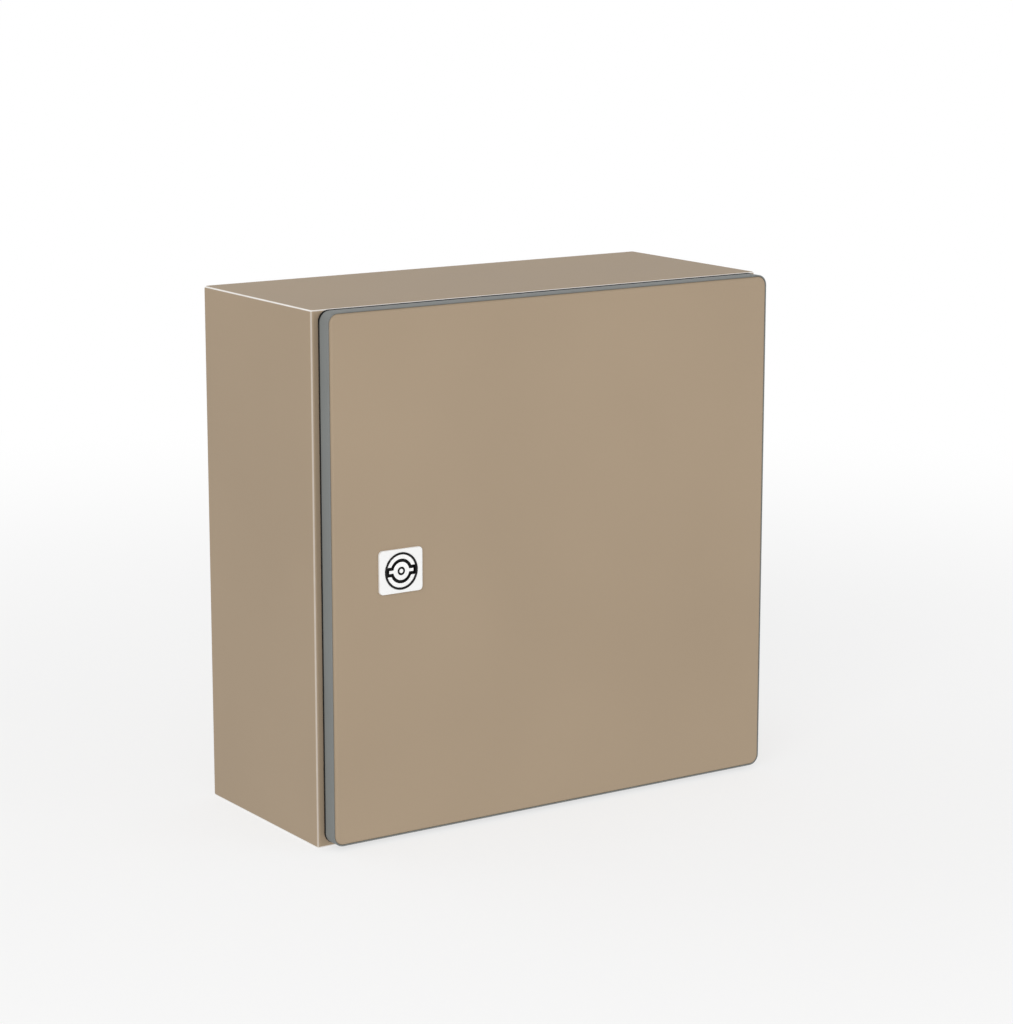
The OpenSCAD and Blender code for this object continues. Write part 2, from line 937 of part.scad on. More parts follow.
module lock_escutcheon() {
    color(lock_white)
        at_lock()
            translate([0, 0, door_t])
                difference() {
                    union() {
                        edged_plate(
                            lock_plate_w, lock_plate_h, lock_plate_t, lock_plate_r, lock_plate_edge_r
                        );
                        translate([0, 0, -sheet_t])
                            at_lock_bosses()
                                cylinder(h = sheet_t, d = lock_boss_d);
                    }
                    translate([0, 0, -over])
                        cylinder(h = lock_plate_t + 2 * over, r = ring_d / 2 + slip);
                    translate([0, 0, -sheet_t - over])
                        at_lock_bosses()
                            cylinder(h = over + sheet_t + lock_plate_t / 2, r = lock_screw_d / 2 + slip);
                }
}

module lock_housing() {
    color(dark_rubber)
        at_lock()
            difference() {
                union() {
                    translate([0, 0, housing_back])
                        linear_extrude(housing_flange_t)
                            rounded_rect(lock_plate_w, lock_plate_h, lock_plate_r);
                    translate([0, 0, housing_back])
                        cylinder(h = ring_front - housing_back, d = ring_d);
                    translate([0, 0, neck_back])
                        cylinder(h = housing_front - neck_back, d = neck_d);
                }
                translate([0, 0, housing_back + housing_floor_t])
                    cylinder(h = ring_front, r = ring_inner_r);
                translate([0, 0, neck_back - over])
                    cylinder(h = ring_front, r = spindle_d / 2 + slip);
                translate([0, 0, housing_back - over])
                    at_lock_bosses()
                        cylinder(h = housing_flange_t + 2 * over, r = lock_screw_d / 2 + slip);
            }
}

module lock_seal() {
    color(dark_rubber)
        at_lock()
            translate([0, 0, housing_front])
                linear_extrude(lock_seal_t)
                    difference() {
                        rounded_rect(lock_plate_w, lock_plate_h, lock_plate_r);
                        circle(ring_d / 2 + slip);
                        at_lock_bosses()
                            circle(lock_screw_d / 2 + hole_gap);
                    }
}

module lock_screws() {
    color(zinc)
        at_lock()
            translate([0, 0, housing_back])
                mirror([0, 0, 1])
                    at_lock_bosses()
                        pan_screw(lock_screw_d, door_t - housing_back);
}

// Double-bit key recess: a groove round an island with two bits
module key_groove() {
    difference() {
        union() {
            circle(d = key_d);
            square([2 * core_r + over, key_bit_h + 2 * key_groove_w], center = true);
        }
        circle(d = key_d - 2 * key_groove_w);
        square([key_island_w, key_bit_h], center = true);
    }
    difference() {
        circle(d = key_hole_d);
        circle(d = key_pin_d);
    }
}

// Section of the sealing ring, or of its groove when it is widened
module o_ring_section(gap) {
    translate([spindle_d / 2 - o_ring_d / 2, 0])
        circle(o_ring_d / 2 + gap);
}

module lock_core() {
    color(nickel)
        at_lock()
            difference() {
                union() {
                    translate([0, 0, core_back])
                        cylinder(h = core_front - core_back, r = core_r);
                    translate([0, 0, cam_front])
                        cylinder(h = core_front - cam_front - key_groove_depth, d = spindle_d);
                    translate([0, 0, cam_back + run_gap])
                        linear_extrude(cam_t)
                            square(drive_w, center = true);
                }
                translate([0, 0, core_front - key_groove_depth])
                    linear_extrude(key_groove_depth + over)
                        key_groove();
                translate([0, 0, o_ring_z])
                    rotate_extrude()
                        o_ring_section(slip);
                translate([0, 0, cam_back - over])
                    cylinder(h = cam_bolt_len + over, r = cam_bolt_d / 2 + slip);
            }
}

module lock_o_ring() {
    color(dark_rubber)
        at_lock()
            translate([0, 0, o_ring_z])
                rotate_extrude()
                    o_ring_section(0);
}

// Space of the bevel that leads the cam in behind the flange, along the end of its leading edge
module cam_bevel() {
    bevel_len = cam_overlap + cam_w / 2;
    bevel_t = cam_t / 3;
    translate([-cam_w / 2, bevel_len - cam_reach, cam_front])
        rotate([90, 0, 0])
            linear_extrude(bevel_len + over)
                polygon([
                    [cam_bevel_w, 0], [cam_bevel_w, over], [-cam_bevel_w, over], [-cam_bevel_w, -2 * bevel_t]
                ]);
}

module lock_cam() {
    tip = cam_reach - cam_w / 2;
    color(zinc)
        at_lock()
            difference() {
                translate([0, 0, cam_back])
                    linear_extrude(cam_t)
                        difference() {
                            union() {
                                circle(d = cam_hub_d);
                                translate([-cam_w / 2, -tip])
                                    square([cam_w, tip]);
                                translate([0, -tip])
                                    circle(d = cam_w);
                            }
                            square(drive_w + 2 * slip, center = true);
                        }
                cam_bevel();
            }
}

module cam_washer() {
    color(zinc)
        at_lock()
            translate([0, 0, cam_back - cam_washer_t])
                linear_extrude(cam_washer_t)
                    difference() {
                        circle(d = flange_d(cam_bolt_d) + drive_w / 2);
                        circle(cam_bolt_d / 2 + hole_gap);
                    }
}

module cam_bolt() {
    color(zinc)
        at_lock()
            translate([0, 0, cam_back - cam_washer_t]) {
                mirror([0, 0, 1])
                    hexagon(cam_bolt_d, bolt_head_h(cam_bolt_d));
                cylinder(h = cam_bolt_len, d = cam_bolt_d);
            }
}

body_shell();
rear_panel();
plate_studs();
mounting_plate();
plate_nuts();
gland_gasket();
gland_plate();
gland_studs();
gland_nuts();
earth_stud();
earth_nut();
hinge_frame_leaf_upper();
hinge_frame_leaf_lower();
hinge_frame_screws();
hinge_pin_upper();
hinge_pin_lower();
door_panel();
door_edge_trim();
door_edge_lip();
door_gasket();
door_rail_left();
door_rail_right();
hinge_door_leaf_upper();
hinge_door_leaf_lower();
hinge_door_studs();
hinge_door_nuts();
door_earth_stud();
door_earth_nut();
lock_escutcheon();
lock_housing();
lock_seal();
lock_screws();
lock_core();
lock_o_ring();
lock_cam();
cam_washer();
cam_bolt();
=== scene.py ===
"""Looks of a sheet-steel wall cabinet: its finishes, soft edge profiles, threads, welds and studio."""

import json
import logging
import math
from collections.abc import Callable, Iterator, Mapping, Sequence
from contextlib import contextmanager
from dataclasses import dataclass
from enum import Enum
from typing import Any, ClassVar

import bmesh
import bpy
from mathutils import Euler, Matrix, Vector


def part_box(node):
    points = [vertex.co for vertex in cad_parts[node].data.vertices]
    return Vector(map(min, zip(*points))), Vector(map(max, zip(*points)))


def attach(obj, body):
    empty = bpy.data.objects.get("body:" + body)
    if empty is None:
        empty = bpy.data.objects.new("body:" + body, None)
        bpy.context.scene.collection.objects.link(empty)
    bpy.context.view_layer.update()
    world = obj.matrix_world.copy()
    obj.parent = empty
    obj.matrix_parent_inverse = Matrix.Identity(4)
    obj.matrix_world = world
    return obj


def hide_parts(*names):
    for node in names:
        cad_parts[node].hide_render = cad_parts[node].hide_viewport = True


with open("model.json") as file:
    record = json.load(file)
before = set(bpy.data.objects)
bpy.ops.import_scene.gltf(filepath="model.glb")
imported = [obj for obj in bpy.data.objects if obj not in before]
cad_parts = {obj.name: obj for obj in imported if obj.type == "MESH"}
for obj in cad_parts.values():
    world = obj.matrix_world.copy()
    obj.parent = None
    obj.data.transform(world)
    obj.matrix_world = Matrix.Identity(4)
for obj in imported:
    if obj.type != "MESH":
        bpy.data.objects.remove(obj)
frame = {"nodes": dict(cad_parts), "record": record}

LOG = logging.getLogger("cabinet")
MM = 0.001

# Inner faces of the sheets, the lock's axis and the places of the entry's studs, as the CAD model has them
REAR_Y = -1.5 * MM
DOOR_Y = -218.5 * MM
FLOOR_Z = -248.5 * MM
SIDE_X = 248.5 * MM
LOCK_X = -171.25 * MM
LOCK_Z = 7 * MM
ENTRY_Y = -100 * MM
ENTRY_COLUMNS = (-107.5 * MM, 0.0, 107.5 * MM)
ENTRY_ROWS = (-47.5 * MM, 47.5 * MM)

Colour = tuple[float, float, float]
Place = tuple[float, float, float]
Range = tuple[float, float]
Shares = tuple[float, ...]
Settings = Mapping[str, Any]
Sockets = Mapping[str | int, Any]


class Body(Enum):
    """The bodies on which added pieces ride."""

    CABINET = "cabinet"
    DOOR = "door"


class Slot(Enum):
    """The record's material slots."""

    POWDER_COAT = "powder_coat"
    TRIM_GREY = "trim_grey"
    SPONGE_BLACK = "sponge_black"
    FOAM = "foam"
    LOCK_WHITE = "lock_white"
    LOCK_BLACK = "lock_black"
    NICKEL = "nickel"
    ZINC = "zinc"
    GALVANISED = "galvanised"
    BRASS = "brass"


class Facing(Enum):
    """The way in which a piece points, as the turn of one that stands on +Z."""

    FRONT = (math.pi / 2, 0.0, 0.0)
    BACK = (-math.pi / 2, 0.0, 0.0)
    LEFT = (0.0, -math.pi / 2, 0.0)
    RIGHT = (0.0, math.pi / 2, 0.0)
    TOP = (0.0, 0.0, 0.0)


class Pick(Enum):
    """What a selection in edit mode is made of."""

    VERT = "VERT"
    EDGE = "EDGE"
    FACE = "FACE"


# Shader expressions


@dataclass(frozen=True)
class Signal:
    """A socket whose value changes over a surface, used in sums like a number."""

    sheet: "ShaderSheet"
    socket: bpy.types.NodeSocket

    def __add__(self, other: "Signal | float") -> "Signal":
        """Return the sum."""
        return self.sheet.math("ADD", self, other)

    def __radd__(self, other: float) -> "Signal":
        """Return the sum with a number on the left."""
        return self.sheet.math("ADD", other, self)

    def __sub__(self, other: "Signal | float") -> "Signal":
        """Return the difference."""
        return self.sheet.math("SUBTRACT", self, other)

    def __rsub__(self, other: float) -> "Signal":
        """Return a number less this value."""
        return self.sheet.math("SUBTRACT", other, self)

    def __mul__(self, other: "Signal | float") -> "Signal":
        """Return the product."""
        return self.sheet.math("MULTIPLY", self, other)

    def __rmul__(self, other: float) -> "Signal":
        """Return the product with a number on the left."""
        return self.sheet.math("MULTIPLY", other, self)

    def __abs__(self) -> "Signal":
        """Return this value without its sign."""
        return self.sheet.math("ABSOLUTE", self)

    def ramp(self, low: float, high: float, smooth: bool = True) -> "Signal":
        """Rise from 0 to 1.

        Args:
            low: Value at which the result is 0.
            high: Value at which the result is 1.
            smooth: Whether the rise is a smooth step or a straight line.

        Returns:
            The rise, level outside the two values.
        """
        return self.sheet.read(
            "ShaderNodeMapRange",
            {"interpolation_type": "SMOOTHSTEP" if smooth else "LINEAR", "clamp": True},
            {"Value": self, "From Min": low, "From Max": high},
            "Result",
        )

    def limit(self) -> "Signal":
        """Return this value kept between 0 and 1."""
        return self.sheet.read("ShaderNodeClamp", {}, {"Value": self})


def mixed(shares: Shares, *signals: Signal) -> Signal:
    """Return the sum of signals, each by its share."""
    first, *others = [share * signal for share, signal in zip(shares, signals)]
    return sum(others, first)


def shade(colour: Colour, factor: float) -> Colour:
    """Return a colour made darker or lighter by a factor."""
    return (colour[0] * factor, colour[1] * factor, colour[2] * factor)


class ShaderSheet:
    """One node tree and the few ways in which this scene adds nodes to it."""

    # Numbers of a Mix node's two colour inputs and of its colour output
    MIX_COLOUR: ClassVar[tuple[int, int, int]] = (6, 7, 2)
    FRAY_DETAIL: ClassVar[float] = 2.0
    SWIRL_AXIS: ClassVar[Place] = (0.1, 0.7, 0.7)
    EDGE_SAMPLES: ClassVar[int] = 4

    def __init__(self, tree: bpy.types.NodeTree) -> None:
        """Take over a tree and empty it."""
        self.tree = tree
        self.tree.nodes.clear()

    def node(self, kind: str, settings: Settings, sockets: Sockets) -> bpy.types.Node:
        """Add one node.

        Args:
            kind: The node's type.
            settings: Properties that are set first, such as a Math node's operation.
            sockets: Values or links of its input sockets, by name or number.

        Returns:
            The new node.
        """
        made = self.tree.nodes.new(kind)
        for name, value in settings.items():
            setattr(made, name, value)
        for key, value in sockets.items():
            if isinstance(value, Signal):
                self.tree.links.new(value.socket, made.inputs[key])
            else:
                made.inputs[key].default_value = value
        return made

    def read(self, kind: str, settings: Settings, sockets: Sockets, output: str | int = 0) -> Signal:
        """Add one node and read one of its outputs.

        Args:
            kind: The node's type.
            settings: Properties that are set first.
            sockets: Values or links of its input sockets, by name or number.
            output: The output that is read, by name or number.

        Returns:
            The output's signal.
        """
        return Signal(self, self.node(kind, settings, sockets).outputs[output])

    def math(self, operation: str, *values: Signal | float) -> Signal:
        """Return the result of a Math node on values and numbers."""
        return self.read("ShaderNodeMath", {"operation": operation}, dict(enumerate(values)))

    def place(self, turn: Place = (0.0, 0.0, 0.0), scale: Place = (1.0, 1.0, 1.0)) -> Signal:
        """Read the point on the object.

        Args:
            turn: Angles by which the pattern is turned.
            scale: Stretch of the pattern along each axis.

        Returns:
            The mapped Object coordinates.
        """
        point = self.read("ShaderNodeTexCoord", {}, {}, "Object")
        return self.read("ShaderNodeMapping", {}, {"Vector": point, "Rotation": turn, "Scale": scale})

    def axes(self) -> tuple[Signal, Signal, Signal]:
        """Return the object's x, y and z in metres."""
        node = self.node("ShaderNodeSeparateXYZ", {}, {"Vector": self.place()})
        return Signal(self, node.outputs[0]), Signal(self, node.outputs[1]), Signal(self, node.outputs[2])

    def radius(self, first: Signal, second: Signal) -> Signal:
        """Return the distance from an axis, from the two offsets square to it."""
        return self.math("SQRT", first * first + second * second)

    def noise(self, place: Signal, scale: float, detail: float) -> Signal:
        """Return soft noise of the given scale per metre."""
        return self.read("ShaderNodeTexNoise", {}, {"Vector": place, "Scale": scale, "Detail": detail})

    def cells(self, place: Signal, scale: float) -> tuple[Signal, Signal]:
        """Draw a pattern of cells.

        Args:
            place: The points.
            scale: Scale of the cells per metre.

        Returns:
            The distance from a cell's middle, and a random value for each cell.
        """
        node = self.node("ShaderNodeTexVoronoi", {}, {"Vector": place, "Scale": scale})
        value = self.read("ShaderNodeSeparateColor", {}, {0: Signal(self, node.outputs["Color"])})
        return Signal(self, node.outputs["Distance"]), value

    def bend(self, place: Signal, scale: float, reach: float) -> Signal:
        """Shift points by soft noise, so that a pattern's edges fray.

        Args:
            place: The points.
            scale: Scale of the noise per metre.
            reach: Greatest shift in metres.

        Returns:
            The shifted points.
        """
        sockets = {"Vector": place, "Scale": scale, "Detail": self.FRAY_DETAIL}
        waves = self.read("ShaderNodeTexNoise", {}, sockets, "Color")
        return self.read(
            "ShaderNodeVectorMath",
            {"operation": "MULTIPLY_ADD"},
            {0: waves, 1: (reach, reach, reach), 2: place},
        )

    def swirl(self, place: Signal, angle: Signal, scale: Place) -> Signal:
        """Turn points about a slanted axis and stretch them.

        Args:
            place: The points.
            angle: Angle of the turn.
            scale: Stretch along each axis after the turn.

        Returns:
            The turned and stretched points.
        """
        turned_place = self.read(
            "ShaderNodeVectorRotate",
            {"rotation_type": "AXIS_ANGLE"},
            {"Vector": place, "Axis": self.SWIRL_AXIS, "Angle": angle},
        )
        return self.read("ShaderNodeVectorMath", {"operation": "MULTIPLY"}, {0: turned_place, 1: scale})

    def blend(self, factor: Signal, low: Signal | Colour, high: Signal | Colour) -> Signal:
        """Mix two colours.

        Args:
            factor: Share of the second colour.
            low: Colour where the factor is 0.
            high: Colour where the factor is 1.

        Returns:
            The mixed colour.
        """
        first, second, out = self.MIX_COLOUR
        ends = [value if isinstance(value, Signal) else (*value, 1.0) for value in (low, high)]
        return self.read(
            "ShaderNodeMix",
            {"data_type": "RGBA", "clamp_factor": True},
            {0: factor, first: ends[0], second: ends[1]},
            out,
        )

    def vary(self, tone: Signal, colour: Colour, shades: Range) -> Signal:
        """Return a colour that goes from its first shade to its second as a tone rises."""
        return self.blend(tone, shade(colour, shades[0]), shade(colour, shades[1]))

    def relief(self, height: Signal, depth: float, edge: float = 0.0) -> Signal:
        """Turn a height into a bumpy normal.

        Args:
            height: Height between 0 and 1.
            depth: Depth of the bumps in metres.
            edge: Radius in metres to which sharp edges look rounded, or 0.

        Returns:
            The normal.
        """
        sockets: dict[str | int, Any] = {"Height": height, "Distance": depth, "Strength": 1.0}
        if edge > 0:
            settings = {"samples": self.EDGE_SAMPLES}
            sockets["Normal"] = self.read("ShaderNodeBevel", settings, {"Radius": edge})
        return self.read("ShaderNodeBump", {}, sockets)

    def surface(self, sockets: Sockets) -> None:
        """End the tree in one Principled shader with these sockets."""
        self.output("ShaderNodeOutputMaterial", self.read("ShaderNodeBsdfPrincipled", {}, sockets))

    def output(self, kind: str, shader: Signal) -> None:
        """Link a shader to an output node."""
        self.node(kind, {}, {"Surface": shader})


# Finishes


@dataclass(frozen=True)
class Finish:
    """A named finish whose subclasses draw it on a node tree; their scales are per metre."""

    name: str
    slot: Slot

    def make(self) -> bpy.types.Material:
        """Build the material.

        Returns:
            The new material with its nodes.
        """
        material = bpy.data.materials.new(self.name)
        material.use_nodes = True
        self.draw(ShaderSheet(material.node_tree))
        return material

    def draw(self, sheet: ShaderSheet) -> None:
        """Draw the finish; each kind of finish has its own way."""
        raise NotImplementedError


@dataclass(frozen=True)
class PowderCoat(Finish):
    """Beige powder coat with a fine orange peel, optionally with painted highlights on the outside folds.
    """

    colour: Colour = (0.394, 0.304, 0.212)
    shades: Range = (0.965, 1.035)
    tone_shares: Shares = (0.65, 0.35)
    tone_range: Range = (0.25, 0.75)
    peel_scale: float = 640.0
    swell_scale: float = 150.0
    cloud_scale: float = 5.0
    grain_scale: float = 2400.0
    roughness: float = 0.44
    rough_shares: Shares = (0.12, 0.06)
    relief_shares: Shares = (0.7, 0.3)
    relief_depth: float = 0.07 * MM
    edge_r: float = 0.5 * MM
    specular: float = 0.1
    # Painted highlight on the outside folds: a near-white colour that also lowers the roughness, with its
    # own strength for each kind of fold
    painted_highlight: Colour = (0.93, 0.90, 0.86)
    highlight_gloss: float = 0.12
    highlight_range: Range = (0.37, 0.49)
    top_range: Range = (0.38, 0.49)
    patch_scale: float = 60.0
    patch_least: float = 0.75
    patch_gain: float = 0.5
    half_w: float = 250 * MM
    half_h: float = 250 * MM
    depth: float = 200 * MM
    fold_r: float = 3 * MM
    depth_highlight: float = 0.0
    side_highlight: float = 0.0
    top_highlight: float = 0.0

    def draw(self, sheet: ShaderSheet) -> None:
        """Draw the coat.

        Args:
            sheet: The material's node tree.
        """
        place = sheet.place()
        peel = sheet.noise(place, self.peel_scale, detail=1.0)
        swell = sheet.noise(place, self.swell_scale, detail=1.0)
        cloud = sheet.noise(place, self.cloud_scale, detail=2.0)
        grain = sheet.noise(place, self.grain_scale, detail=0.0)
        tone = mixed(self.tone_shares, cloud, grain).ramp(*self.tone_range)
        colour = sheet.vary(tone, self.colour, self.shades)
        roughness = self.roughness + mixed(self.rough_shares, peel, cloud)
        # Painted highlight: the outside folds are lightened towards near-white and made glossier
        if max(self.depth_highlight, self.side_highlight, self.top_highlight) > 0:
            highlight = self._highlight_share(sheet, place)
            colour = sheet.blend(highlight, colour, self.painted_highlight)
            roughness = roughness - self.highlight_gloss * highlight
        sheet.surface({
            "Base Color": colour,
            "Roughness": roughness,
            "Normal": sheet.relief(mixed(self.relief_shares, peel, swell), self.relief_depth, self.edge_r),
            "Specular IOR Level": self.specular,
        })

    def _highlight_share(self, sheet: ShaderSheet, place: Signal) -> Signal:
        """Find where the painted highlights go on the outside folds.

        Args:
            sheet: The material's node tree.
            place: The point on the object.

        Returns:
            The share of painted highlight, 1 in the middle of a fold.
        """
        x, y, z = sheet.axes()
        across = abs(x).ramp(self.half_w - self.fold_r, self.half_w, smooth=False)
        along = abs(z).ramp(self.half_h - self.fold_r, self.half_h, smooth=False)
        ahead = y.ramp(self.fold_r - self.depth, -self.depth, smooth=False)
        patchy = self.patch_least + self.patch_gain * sheet.noise(place, self.patch_scale, detail=3.0)
        folds = (
            self.depth_highlight * (across * along).ramp(*self.highlight_range)
            + self.side_highlight * (across * ahead).ramp(*self.highlight_range)
            + self.top_highlight * (along * ahead).ramp(*self.top_range)
        )
        return (folds * patchy).limit()


@dataclass(frozen=True)
class RubberProfile(Finish):
    """Extruded rubber with fine lines along its length and a dull bloom."""

    colour: Colour = (0.196, 0.206, 0.200)
    shades: Range = (0.95, 1.05)
    tone_shares: Shares = (0.5, 0.3, 0.2)
    tone_range: Range = (0.3, 0.7)
    line_stretch: Place = (6.0, 900.0, 6.0)
    grain_scale: float = 1800.0
    cloud_scale: float = 18.0
    roughness: float = 0.52
    cloud_rough: float = 0.16
    relief_shares: Shares = (0.6, 0.4)
    relief_depth: float = 0.06 * MM
    specular: float = 0.3

    def draw(self, sheet: ShaderSheet) -> None:
        """Draw the rubber.

        Args:
            sheet: The material's node tree.
        """
        place = sheet.place()
        lines = sheet.noise(sheet.place(scale=self.line_stretch), scale=1.0, detail=3.0)
        grain = sheet.noise(place, self.grain_scale, detail=1.0)
        cloud = sheet.noise(place, self.cloud_scale, detail=3.0)
        tone = mixed(self.tone_shares, cloud, lines, grain).ramp(*self.tone_range)
        sheet.surface({
            "Base Color": sheet.vary(tone, self.colour, self.shades),
            "Roughness": self.roughness + self.cloud_rough * cloud,
            "Normal": sheet.relief(mixed(self.relief_shares, lines, grain), self.relief_depth),
            "Specular IOR Level": self.specular,
        })


@dataclass(frozen=True)
class CellFoam(Finish):
    """Foam or sponge rubber with a skin of small cells."""

    colour: Colour = (0.09, 0.097, 0.102)
    shades: Range = (0.7, 1.25)
    tone_shares: Shares = (0.5, 0.3, 0.4)
    tone_range: Range = (0.2, 0.9)
    cell_scale: float = 1100.0
    cloud_scale: float = 40.0
    pore_range: Range = (0.05, 0.6)
    roughness: float = 0.82
    cell_rough: float = 0.12
    relief_shares: Shares = (0.7, 0.3)
    relief_depth: float = 0.12 * MM
    specular: float = 0.15

    def draw(self, sheet: ShaderSheet) -> None:
        """Draw the foam.

        Args:
            sheet: The material's node tree.
        """
        place = sheet.place()
        gap, value = sheet.cells(place, self.cell_scale)
        cloud = sheet.noise(place, self.cloud_scale, detail=3.0)
        pore = gap.ramp(*self.pore_range)
        tone = mixed(self.tone_shares, pore, value, cloud).ramp(*self.tone_range)
        sheet.surface({
            "Base Color": sheet.vary(tone, self.colour, self.shades),
            "Roughness": self.roughness + self.cell_rough * value,
            "Normal": sheet.relief(mixed(self.relief_shares, pore, cloud), self.relief_depth),
            "Specular IOR Level": self.specular,
        })


@dataclass(frozen=True)
class MouldedPlastic(Finish):
    """Plastic from a spark-eroded mould, satin or matt."""

    colour: Colour = (0.92, 0.92, 0.91)
    shades: Range = (0.985, 1.0)
    tone_shares: Shares = (0.6, 0.4)
    tone_range: Range = (0.25, 0.75)
    spark_scale: float = 2600.0
    flow_scale: float = 35.0
    roughness: float = 0.38
    flow_rough: float = 0.12
    relief_depth: float = 0.025 * MM
    edge_r: float = 0.3 * MM
    specular: float = 0.4

    def draw(self, sheet: ShaderSheet) -> None:
        """Draw the plastic.

        Args:
            sheet: The material's node tree.
        """
        place = sheet.place()
        spark = sheet.noise(place, self.spark_scale, detail=1.0)
        flow = sheet.noise(place, self.flow_scale, detail=3.0)
        tone = mixed(self.tone_shares, flow, spark).ramp(*self.tone_range)
        sheet.surface({
            "Base Color": sheet.vary(tone, self.colour, self.shades),
            "Roughness": (self.roughness - self.flow_rough / 2) + self.flow_rough * flow,
            "Normal": sheet.relief(spark, self.relief_depth, self.edge_r),
            "Specular IOR Level": self.specular,
        })


@dataclass(frozen=True)
class TurnedNickel(Finish):
    """Satin nickel faced on a lathe, with painted shade in the key recess."""

    colour: Colour = (0.93, 0.93, 0.92)
    shades: Range = (0.96, 1.0)
    tone_range: Range = (0.3, 0.7)
    cloud_scale: float = 120.0
    roughness: float = 0.30
    cloud_rough: float = 0.10
    line_pitch: float = 0.22 * MM
    relief_depth: float = 0.008 * MM
    edge_r: float = 0.25 * MM
    face_y: float = -222.5 * MM
    recess: float = 4.2 * MM
    # Painted shade in the key recess: near-black and matt, from just below the face to past the recess's
    # floor
    painted_shade: Colour = (0.006, 0.006, 0.006)
    painted_shade_rough: float = 0.75
    painted_shade_start: Range = (0.005, 0.05)
    painted_shade_end: Range = (1.2, 1.5)

    def draw(self, sheet: ShaderSheet) -> None:
        """Draw the turned face and the recess with its painted shade.

        Args:
            sheet: The material's node tree.
        """
        x, y, z = sheet.axes()
        turns = sheet.radius(x - LOCK_X, z - LOCK_Z) * (2 * math.pi / self.line_pitch)
        lines = 0.5 + 0.5 * sheet.math("SINE", turns)
        cloud = sheet.noise(sheet.place(), self.cloud_scale, detail=3.0)
        # Painted shade: below the face the recess turns near-black, matt and not metallic
        shade_share = self._sunk(y, self.painted_shade_start) * (1.0 - self._sunk(y, self.painted_shade_end))
        bare = 1.0 - shade_share
        bright = sheet.vary(cloud.ramp(*self.tone_range), self.colour, self.shades)
        sheet.surface({
            "Base Color": sheet.blend(shade_share, bright, self.painted_shade),
            "Metallic": bare,
            "Roughness": (self.roughness + self.cloud_rough * cloud) * bare + self.painted_shade_rough * shade_share,
            "Normal": sheet.relief(lines * bare, self.relief_depth, self.edge_r),
        })

    def _sunk(self, y: Signal, shares: Range) -> Signal:
        """Return a rise from 0 to 1 between two shares of the recess's depth."""
        low, high = (self.face_y + share * self.recess for share in shares)
        return y.ramp(low, high)


@dataclass(frozen=True)
class PlatedMetal(Finish):
    """Zinc plate or bare brass: two close tints in soft patches, with fine scratches."""

    first: Colour = (0.45, 0.48, 0.52)
    second: Colour = (0.52, 0.50, 0.45)
    patch_scale: float = 90.0
    patch_range: Range = (0.35, 0.65)
    scratch_turn: Place = (0.4, 0.3, 0.7)
    scratch_stretch: Place = (200.0, 2600.0, 900.0)
    scratch_range: Range = (0.55, 0.8)
    scratch_shade: float = 1.25
    grain_scale: float = 3000.0
    roughness: float = 0.30
    rough_shares: Shares = (0.16, 0.10)
    relief_shares: Shares = (0.5, 0.5)
    relief_depth: float = 0.015 * MM
    edge_r: float = 0.3 * MM

    def draw(self, sheet: ShaderSheet) -> None:
        """Draw the plated metal.

        Args:
            sheet: The material's node tree.
        """
        place = sheet.place()
        patch = sheet.noise(place, self.patch_scale, detail=3.0)
        scratch = sheet.noise(sheet.place(self.scratch_turn, self.scratch_stretch), scale=1.0, detail=2.0)
        grain = sheet.noise(place, self.grain_scale, detail=1.0)
        colour = sheet.blend(patch.ramp(*self.patch_range), self.first, self.second)
        bright = shade(self.first, self.scratch_shade)
        height = mixed(self.relief_shares, grain, scratch)
        sheet.surface({
            "Base Color": sheet.blend(scratch.ramp(*self.scratch_range), colour, bright),
            "Metallic": 1.0,
            "Roughness": self.roughness + mixed(self.rough_shares, patch, scratch - 0.5),
            "Normal": sheet.relief(height, self.relief_depth, self.edge_r),
        })


@dataclass(frozen=True)
class GalvanisedSheet(Finish):
    """Hot-dip galvanised steel with its spangle of zinc crystals."""

    colour: Colour = (0.50, 0.52, 0.54)
    shades: Range = (0.82, 1.14)
    tone_shares: Shares = (0.5, 0.35, 0.3)
    tone_range: Range = (0.2, 0.95)
    spangle_scale: float = 120.0
    fray_scale: float = 260.0
    frayed_by: float = 7 * MM
    frond_stretch: Place = (1500.0, 260.0, 260.0)
    cloud_scale: float = 14.0
    metallic: float = 0.85
    roughness: float = 0.38
    rough_shares: Shares = (0.10, 0.10)
    relief_shares: Shares = (0.3, 0.5, 0.2)
    relief_depth: float = 0.02 * MM
    edge_r: float = 0.4 * MM

    def draw(self, sheet: ShaderSheet) -> None:
        """Draw the spangled zinc, each crystal with fronds that run its own way.

        Args:
            sheet: The material's node tree.
        """
        place = sheet.place()
        cloud = sheet.noise(place, self.cloud_scale, detail=3.0)
        gap, crystal = sheet.cells(sheet.bend(place, self.fray_scale, self.frayed_by), self.spangle_scale)
        frond_place = sheet.swirl(place, 2 * math.pi * crystal, self.frond_stretch)
        fronds = sheet.noise(frond_place, scale=1.0, detail=2.0)
        tone = mixed(self.tone_shares, crystal, fronds, cloud).ramp(*self.tone_range)
        height = mixed(self.relief_shares, gap, fronds, cloud)
        sheet.surface({
            "Base Color": sheet.vary(tone, self.colour, self.shades),
            "Metallic": self.metallic,
            "Roughness": self.roughness + mixed(self.rough_shares, crystal, fronds),
            "Normal": sheet.relief(height, self.relief_depth, self.edge_r),
        })


# Modelling by hand


